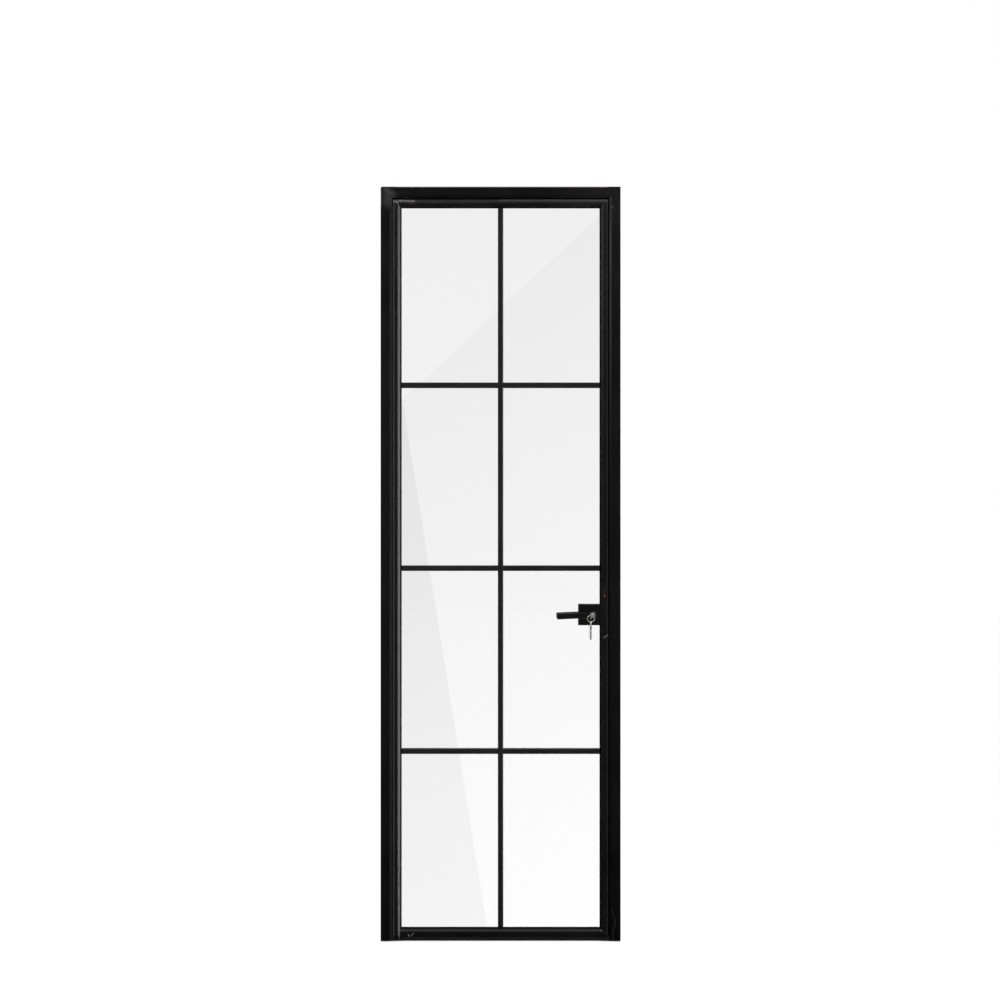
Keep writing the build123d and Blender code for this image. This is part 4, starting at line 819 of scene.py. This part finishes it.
def add_screw(mesh, centre, outward, radius, length):
    """A countersunk screw with a cross recess: its head's face is at the centre."""
    start = len(mesh.verts)
    cross = bmesh.ops.create_grid(mesh, x_segments=3, y_segments=3, size=radius * CROSS_REACH)["verts"]
    faces = list({face for corner in cross for face in corner.link_faces})
    corners_off = [face for face in faces
                   if min(map(abs, face.calc_center_median().xy)) > radius * CROSS_CORNER]
    bmesh.ops.delete(mesh, geom=corners_off, context="FACES")
    mesh.verts.ensure_lookup_table()
    cross = [corner for corner in mesh.verts[start:] if corner.link_faces]
    for corner in cross:
        for axis in (0, 1):
            if abs(corner.co[axis]) < radius * CROSS_REACH / 2:
                corner.co[axis] *= CROSS_ARM
    plus = list({face for corner in cross for face in corner.link_faces})
    rim = [edge for edge in {edge for corner in cross for edge in corner.link_edges} if edge.is_boundary]
    ring = bmesh.ops.create_circle(mesh, segments=HEAD_SIDES, radius=radius)["verts"]
    circle = list({edge for corner in ring for edge in corner.link_edges})
    bmesh.ops.bridge_loops(mesh, edges=rim + circle)
    sunk = bmesh.ops.extrude_face_region(mesh, geom=plus)["geom"]
    floor = [item for item in sunk if isinstance(item, bmesh.types.BMVert)]
    bmesh.ops.delete(mesh, geom=plus, context="FACES")
    bmesh.ops.translate(mesh, verts=floor, vec=(0, 0, -CROSS_DEPTH))
    bmesh.ops.scale(mesh, verts=floor, vec=(CROSS_TAPER, CROSS_TAPER, 1))
    loop = circle
    for shrink, drop in ((SHANK_SHARE, radius / 2), (1.0, length - radius / 2)):
        made = bmesh.ops.extrude_edge_only(mesh, edges=loop)["geom"]
        lower = [item for item in made if isinstance(item, bmesh.types.BMVert)]
        bmesh.ops.scale(mesh, verts=lower, vec=(shrink, shrink, 1))
        bmesh.ops.translate(mesh, verts=lower, vec=(0, 0, -drop))
        loop = [item for item in made if isinstance(item, bmesh.types.BMEdge)
                and all(corner in lower for corner in item.verts)]
    bmesh.ops.edgeloop_fill(mesh, edges=loop)
    mesh.verts.ensure_lookup_table()
    turn = outward.to_track_quat("Z", "Y").to_matrix().to_4x4()
    bmesh.ops.transform(mesh, matrix=Matrix.Translation(centre) @ turn, verts=mesh.verts[start:])


class OBJECT_OT_door_screws(bpy.types.Operator):
    """Cut a cross recess in the head of every screw"""

    bl_idname = "object.door_screws"
    bl_label = "Finish Screws"

    def execute(self, context):
        """Each new screw stands exactly where the plain one does."""
        for node in ("frame_screws", "leaf_screws"):
            mesh = bmesh.new()
            for place in screw_places(node):
                add_screw(mesh, *place)
            bmesh.ops.recalc_face_normals(mesh, faces=mesh.faces)
            finish_mesh(mesh, f"{node}_with_cross", material_named("Zinc-plated steel"), BODY_OF[node],
                        SLOT_OF[node], (node,))
        return {"FINISHED"}


# Key ring: flat wire that winds round more than once and climbs evenly to the ring's full thickness
RING_RADIUS = 10.2 * MM
WIRE_HALF_WIDTH = 0.95 * MM
WIRE_GAP = 0.04 * MM
RING_STEPS = 128
WIRE_SIDES = 10


class OBJECT_OT_door_keys(bpy.types.Operator):
    """Finish the plug and the keys, and wind the key ring"""

    bl_idname = "object.door_keys"
    bl_label = "Finish Keys and Ring"

    def execute(self, context):
        """The ring hangs from the main key's bow, with the spare keys at its lowest point."""
        fittings = context.scene.door_fittings
        nickel = material_named("Worn nickel")
        for name, finish in KEYS.items():
            softened(name, fittings.key_edge, fittings.edge_segments, material_named(finish))
        low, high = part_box("key_ring")
        centre = (low + high) / 2
        thickness = high.y - low.y
        pitch = thickness / fittings.ring_turns
        half = (pitch - WIRE_GAP) / 2
        mesh = bmesh.new()
        section = bmesh.ops.create_circle(mesh, cap_ends=True, segments=WIRE_SIDES, radius=1)["verts"]
        bmesh.ops.scale(mesh, verts=section, vec=(WIRE_HALF_WIDTH, half, 1))
        bmesh.ops.translate(mesh, verts=section,
                            vec=(centre.x + RING_RADIUS, low.y + half, centre.z))
        slope = (thickness - 2 * half) / RING_STEPS
        bmesh.ops.spin(mesh, geom=mesh.verts[:] + mesh.edges[:] + mesh.faces[:], cent=centre, axis=(0, 1, 0),
                       dvec=(0, slope, 0), angle=math.tau * fittings.ring_turns, steps=RING_STEPS)
        open_edges = [edge for edge in mesh.edges if edge.is_boundary]
        if open_edges:
            bmesh.ops.holes_fill(mesh, edges=open_edges)
        bmesh.ops.recalc_face_normals(mesh, faces=mesh.faces)
        finish_mesh(mesh, "wound_key_ring", nickel, BODY_OF["key_ring"], SLOT_OF["key_ring"], ("key_ring",))
        return {"FINISHED"}


# Studio: the floor, the dark surround in front, and the cards that the coat and the glass mirror
FLOOR_SIDE = 60
FLOOR_COLOR = (0.95, 0.95, 0.95, 1)
FLOOR_WHITE = 0.94
FLOOR_GLOW = 1.04
CONTACT_REACH = 0.04
SURROUND_DEPTH = 22
SURROUND_BACK = 6
SURROUND_SIDE = 28
SURROUND_HEIGHT = 40
CLOTH_SIDE = 12
WINDOW_DISTANCE = 0.1
WINDOW_SIDE = 3

# The window's reflection, in pixels of the photograph: the glass's top and foot, and two slanting edges
GLASS_TOP_PIXEL = 214
GLASS_FOOT_PIXEL = 927
SASH_EDGE = ((600, 215), (402, 400))
BLIND_EDGE = ((402, 398), (487, 927))
# How far each edge blurs to either side
SASH_BLUR = 4 * MM
BLIND_BLUR = 3 * MM
# Daylight above and below the sash edge: level at the top, gain to the foot and across, the blind's loss
ABOVE_SASH = 1.95
ABOVE_GAIN = 2.3
BELOW_SASH = 0.75
BELOW_GAIN = 4.0
ACROSS_GAIN = 0.9
BLIND_LOSS = 1.9

# Cards and lamp: place and target as across, out from the frame's face and up, then width and height
LOCK_STRIP = ((3.2, 0.75, 1.2), (-0.3, 0, 1.2), 0.6, 3.2)
FLOOR_STRIP = ((2.1, 0.5, 2 * MM), (2.1, 0.5, 1), 2.2, 0.4)
HINGE_CARD = ((-1.45, 2.8, 1.3), (-0.3, 0, 1.3), 0.7, 2.6)
HIGH_HINGE_CARD = ((-1.85, 1.25, 2.3), (0.3, 0, 2.0), 0.5, 0.9)
HIGH_LOCK_CARD = ((0.9, 2.8, 2.6), (0.3, 0, 1.9), 0.4, 0.45)
KEY_LIGHT = ((0.8, 4, 4.2), (0, 0, 1.0), 2.0, 1.4)


def in_front(spot, face):
    """A place given as across, out from the frame's face and up."""
    across, out, up = spot
    return Vector((across, face - out, up))


def cleared_tree(owner):
    """The node tree of a material or a world, with nothing in it."""
    owner.use_nodes = True
    owner.node_tree.nodes.clear()
    return owner.node_tree


def ray_share(tree, *kinds):
    """1 for any of these kinds of ray: camera, glossy or transmission."""
    path = put(tree, "ShaderNodeLightPath")
    found = path.outputs[kinds[0]]
    for kind in kinds[1:]:
        found = calc(tree, "MAXIMUM", found, path.outputs[kind])
    return found


def floor_material():
    """A pale floor that shows white, with a contact shade between the jambs and a trace of shadow."""
    made = bpy.data.materials.new("Pale floor")
    tree = cleared_tree(made)
    matt = put(tree, "ShaderNodeBsdfDiffuse", {"Color": FLOOR_COLOR})
    around = put(tree, "ShaderNodeAmbientOcclusion", {"Distance": CONTACT_REACH}, samples=12)
    open_share = around.outputs["AO"]
    across = calc(tree, "ABSOLUTE", part_of(tree, object_place(tree), 0))
    between = ease(tree, across, CAD_BOX[1].x + MM, CAD_BOX[1].x - MM)
    shade = calc(tree, "MULTIPLY", ease(tree, open_share, low=0.95, high=0.6), between)
    glow = calc(tree, "MULTIPLY_ADD", shade, -FLOOR_GLOW, FLOOR_GLOW)
    white = put(tree, "ShaderNodeEmission", {"Color": WHITE, "Strength": glow})
    seen = calc(tree, "MULTIPLY", ray_share(tree, "Is Camera Ray", "Is Transmission Ray"), FLOOR_WHITE)
    mixed = put(tree, "ShaderNodeMixShader", {0: seen, 1: matt.outputs[0], 2: white.outputs[0]})
    put(tree, "ShaderNodeOutputMaterial", {"Surface": mixed.outputs[0]})
    return made


def glow_material(name, strength):
    """A plain glowing surface, or a black one at strength 0."""
    made = bpy.data.materials.new(name)
    tree = cleared_tree(made)
    glow = put(tree, "ShaderNodeEmission", {"Color": WHITE, "Strength": strength})
    put(tree, "ShaderNodeOutputMaterial", {"Surface": glow.outputs[0]})
    return made


def side_of(tree, place, line, mirrored):
    """How far a place on the window lies below the line through two pixels, in metres."""
    start, end = (mirrored(pixel) for pixel in line)
    along = (end - start).normalized()
    below = Vector((along.z, 0, -along.x))
    if below.z > 0:
        below = -below
    return calc(tree, "SUBTRACT", vector_calc(tree, "DOT_PRODUCT", place, below, result=1), start.dot(below))


def window_material(name, level, mirrored):
    """The daylight that the glass mirrors: only a sharp reflection sees it.

    It brightens downwards, from a slanting sash edge, and a blind dims it left of a steep edge.
    """
    made = bpy.data.materials.new(name)
    tree = cleared_tree(made)
    place = object_place(tree)
    across = part_of(tree, place, 0)
    top = mirrored((PHOTO_SIDE / 2, GLASS_TOP_PIXEL)).z
    foot = mirrored((PHOTO_SIDE / 2, GLASS_FOOT_PIXEL)).z
    depth = calc(tree, "DIVIDE", calc(tree, "SUBTRACT", top, part_of(tree, place, 2)), top - foot)
    above = calc(tree, "MULTIPLY_ADD", depth, ABOVE_GAIN, ABOVE_SASH)
    lower = calc(tree, "MULTIPLY_ADD", depth, BELOW_GAIN, BELOW_SASH)
    lower = calc(tree, "MULTIPLY_ADD", across, ACROSS_GAIN, lower)
    sash = ease(tree, side_of(tree, place, SASH_EDGE, mirrored), -SASH_BLUR, SASH_BLUR)
    blind = ease(tree, side_of(tree, place, BLIND_EDGE, mirrored), -BLIND_BLUR, BLIND_BLUR)
    lower = calc(tree, "SUBTRACT", lower, calc(tree, "MULTIPLY", blind, BLIND_LOSS))
    light = calc(tree, "ADD", calc(tree, "MULTIPLY", lower, sash),
                 calc(tree, "MULTIPLY", above, calc(tree, "SUBTRACT", 1.0, sash)))
    fade = ease(tree, calc(tree, "ABSOLUTE", across), WINDOW_SIDE / 2, WINDOW_SIDE / 5)
    glow = put(tree, "ShaderNodeEmission",
               {"Color": WHITE, "Strength": calc(tree, "MULTIPLY", light, level)})
    path = put(tree, "ShaderNodeLightPath")
    seen = calc(tree, "MULTIPLY", path.outputs["Is Singular Ray"], fade)
    mixed = put(tree, "ShaderNodeMixShader",
                {0: seen, 1: put(tree, "ShaderNodeBsdfTransparent").outputs[0], 2: glow.outputs[0]})
    put(tree, "ShaderNodeOutputMaterial", {"Surface": mixed.outputs[0]})
    return made


def stage_plane(name, side_x, side_y, matrix, material):
    """A flat stage surface."""
    mesh = bmesh.new()
    bmesh.ops.create_grid(mesh, x_segments=1, y_segments=1, size=0.5)
    bmesh.ops.scale(mesh, verts=mesh.verts, vec=(side_x, side_y, 1))
    bmesh.ops.transform(mesh, matrix=matrix, verts=mesh.verts)
    data = bpy.data.meshes.new(name)
    mesh.to_mesh(data)
    mesh.free()
    data.materials.append(material)
    plane = bpy.data.objects.new(name, data)
    bpy.context.scene.collection.objects.link(plane)
    return plane


def reflection_card(name, place, target, width, height, material):
    """A card that faces a point, is there in reflections and is left out of everything else."""
    turn = (Vector(target) - Vector(place)).to_track_quat("Z", "Y").to_matrix().to_4x4()
    card = stage_plane(name, width, height, Matrix.Translation(place) @ turn, material)
    for ray in ("camera", "diffuse", "transmission", "volume_scatter", "shadow"):
        setattr(card, f"visible_{ray}", False)
    return card


def key_light(place, target, width, height, power):
    """A soft rectangular light aimed at a point; the cards take its place in reflections."""
    data = bpy.data.lights.new("soft key", "AREA")
    data.shape = "RECTANGLE"
    data.size, data.size_y, data.energy = width, height, power
    light = bpy.data.objects.new("soft key", data)
    light.location = place
    light.rotation_euler = (Vector(target) - Vector(place)).to_track_quat("-Z", "Y").to_euler()
    bpy.context.scene.collection.objects.link(light)
    for ray in ("camera", "glossy", "transmission"):
        setattr(light, f"visible_{ray}", False)
    return light


class OBJECT_OT_door_studio(bpy.types.Operator):
    """Set the floor, the background, the lamps and the camera"""

    bl_idname = "object.door_studio"
    bl_label = "Set Studio"

    def execute(self, context):
        """The camera stands where the photograph was taken from, level and square to the door."""
        studio = context.scene.door_studio
        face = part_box("hinge_jamb")[0].y
        eye = Vector((0, face - studio.camera_distance, 0)) + photo_place(PHOTO_MIDDLE)
        stage_plane("floor", FLOOR_SIDE, FLOOR_SIDE, Matrix.Identity(4), floor_material())

        world = bpy.data.worlds.new("White studio")
        context.scene.world = world
        tree = cleared_tree(world)
        seen = ray_share(tree, "Is Camera Ray", "Is Transmission Ray", "Is Glossy Ray")
        level = calc(tree, "MULTIPLY_ADD", seen, 1 - studio.fill_level, studio.fill_level)
        sky = put(tree, "ShaderNodeBackground", {"Color": WHITE, "Strength": level})
        put(tree, "ShaderNodeOutputWorld", {"Surface": sky.outputs[0]})

        black = glow_material("Black cloth", 0.0)
        reflection_card("dark front", (0, face - SURROUND_DEPTH, 0), (0, face, 0), SURROUND_SIDE,
                        SURROUND_HEIGHT, black)
        middle = face + (SURROUND_BACK - SURROUND_DEPTH) / 2
        for side in (-1, 1):
            reflection_card(f"dark side {side:+d}", (side * SURROUND_SIDE / 2, middle, 0), (0, middle, 0),
                            SURROUND_BACK + SURROUND_DEPTH, SURROUND_HEIGHT, black)
        reflection_card("dark floor cloth", (0, face - CLOTH_SIDE / 2 + CAD_BOX[1].y, MM),
                        (0, face - CLOTH_SIDE / 2 + CAD_BOX[1].y, 1), CLOTH_SIDE, CLOTH_SIDE, black)

        strip = glow_material("Strip", studio.strip_level)
        high = glow_material("High card", studio.high_level)
        for name, (place, target, width, height), glow in (
                ("lock side strip", LOCK_STRIP, strip), ("lock side floor strip", FLOOR_STRIP, strip),
                ("hinge side card", HINGE_CARD, glow_material("Side card", studio.side_level)),
                ("high hinge side card", HIGH_HINGE_CARD, high),
                ("high lock side card", HIGH_LOCK_CARD, high)):
            reflection_card(name, in_front(place, face), in_front(target, face), width, height, glow)

        def mirrored(pixel):
            """Where the ray through a pixel meets the window's plane after the glass has turned it back."""
            reach = 1 + (2 * (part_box("glass_pane")[0].y - face) + WINDOW_DISTANCE) / studio.camera_distance
            aim = photo_place(PHOTO_MIDDLE)
            return aim + (photo_place(pixel) - aim) * reach

        middle = mirrored(PHOTO_MIDDLE)
        reflection_card("window", (0, face - WINDOW_DISTANCE, middle.z), (0, face, middle.z), WINDOW_SIDE,
                        WINDOW_SIDE, window_material("Mirrored window", studio.window_level, mirrored))
        place, target, width, height = KEY_LIGHT
        key_light(in_front(place, face), in_front(target, face), width, height, studio.key_power)

        data = bpy.data.cameras.new("photo camera")
        data.sensor_width = SENSOR_WIDTH
        data.lens = SENSOR_WIDTH * studio.camera_distance / (PIXEL * PHOTO_SIDE)
        camera = bpy.data.objects.new("photo camera", data)
        camera.location = eye
        camera.rotation_euler = (math.radians(90), 0, 0)
        context.scene.collection.objects.link(camera)
        context.scene.camera = camera
        context.scene.view_settings.view_transform = "Standard"
        return {"FINISHED"}


OPERATORS = (OBJECT_OT_door_finishes, OBJECT_OT_door_profiles, OBJECT_OT_door_glazing,
             OBJECT_OT_door_hardware, OBJECT_OT_door_hinge_pins, OBJECT_OT_door_screws,
             OBJECT_OT_door_keys, OBJECT_OT_door_studio)


class VIEW3D_PT_glazed_door(bpy.types.Panel):
    """The door's sizes, colours and steps"""

    bl_idname = "VIEW3D_PT_glazed_door"
    bl_label = "Glazed Door"
    bl_space_type = "VIEW_3D"
    bl_region_type = "UI"
    bl_category = "Glazed Door"

    def draw(self, context):
        """Lists every property, then every operator in the order they run."""
        for group in (context.scene.door_coat, context.scene.door_fittings, context.scene.door_studio):
            box = self.layout.box()
            for name in group.__annotations__:
                box.prop(group, name)
        for operator in OPERATORS:
            self.layout.operator(operator.bl_idname)


CLASSES = (DoorCoat, DoorFittings, DoorStudio) + OPERATORS + (VIEW3D_PT_glazed_door,)


def register():
    """Registers the classes and hangs the properties on the scene."""
    for entry in CLASSES:
        bpy.utils.register_class(entry)
    bpy.types.Scene.door_coat = PointerProperty(type=DoorCoat)
    bpy.types.Scene.door_fittings = PointerProperty(type=DoorFittings)
    bpy.types.Scene.door_studio = PointerProperty(type=DoorStudio)


def unregister():
    """Takes everything off again."""
    del bpy.types.Scene.door_coat, bpy.types.Scene.door_fittings, bpy.types.Scene.door_studio
    for entry in reversed(CLASSES):
        bpy.utils.unregister_class(entry)


def main():
    """Registers the add-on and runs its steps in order."""
    register()
    for operator in OPERATORS:
        category, name = operator.bl_idname.split(".")
        getattr(getattr(bpy.ops, category), name)()


if __name__ == "__main__":
    main()
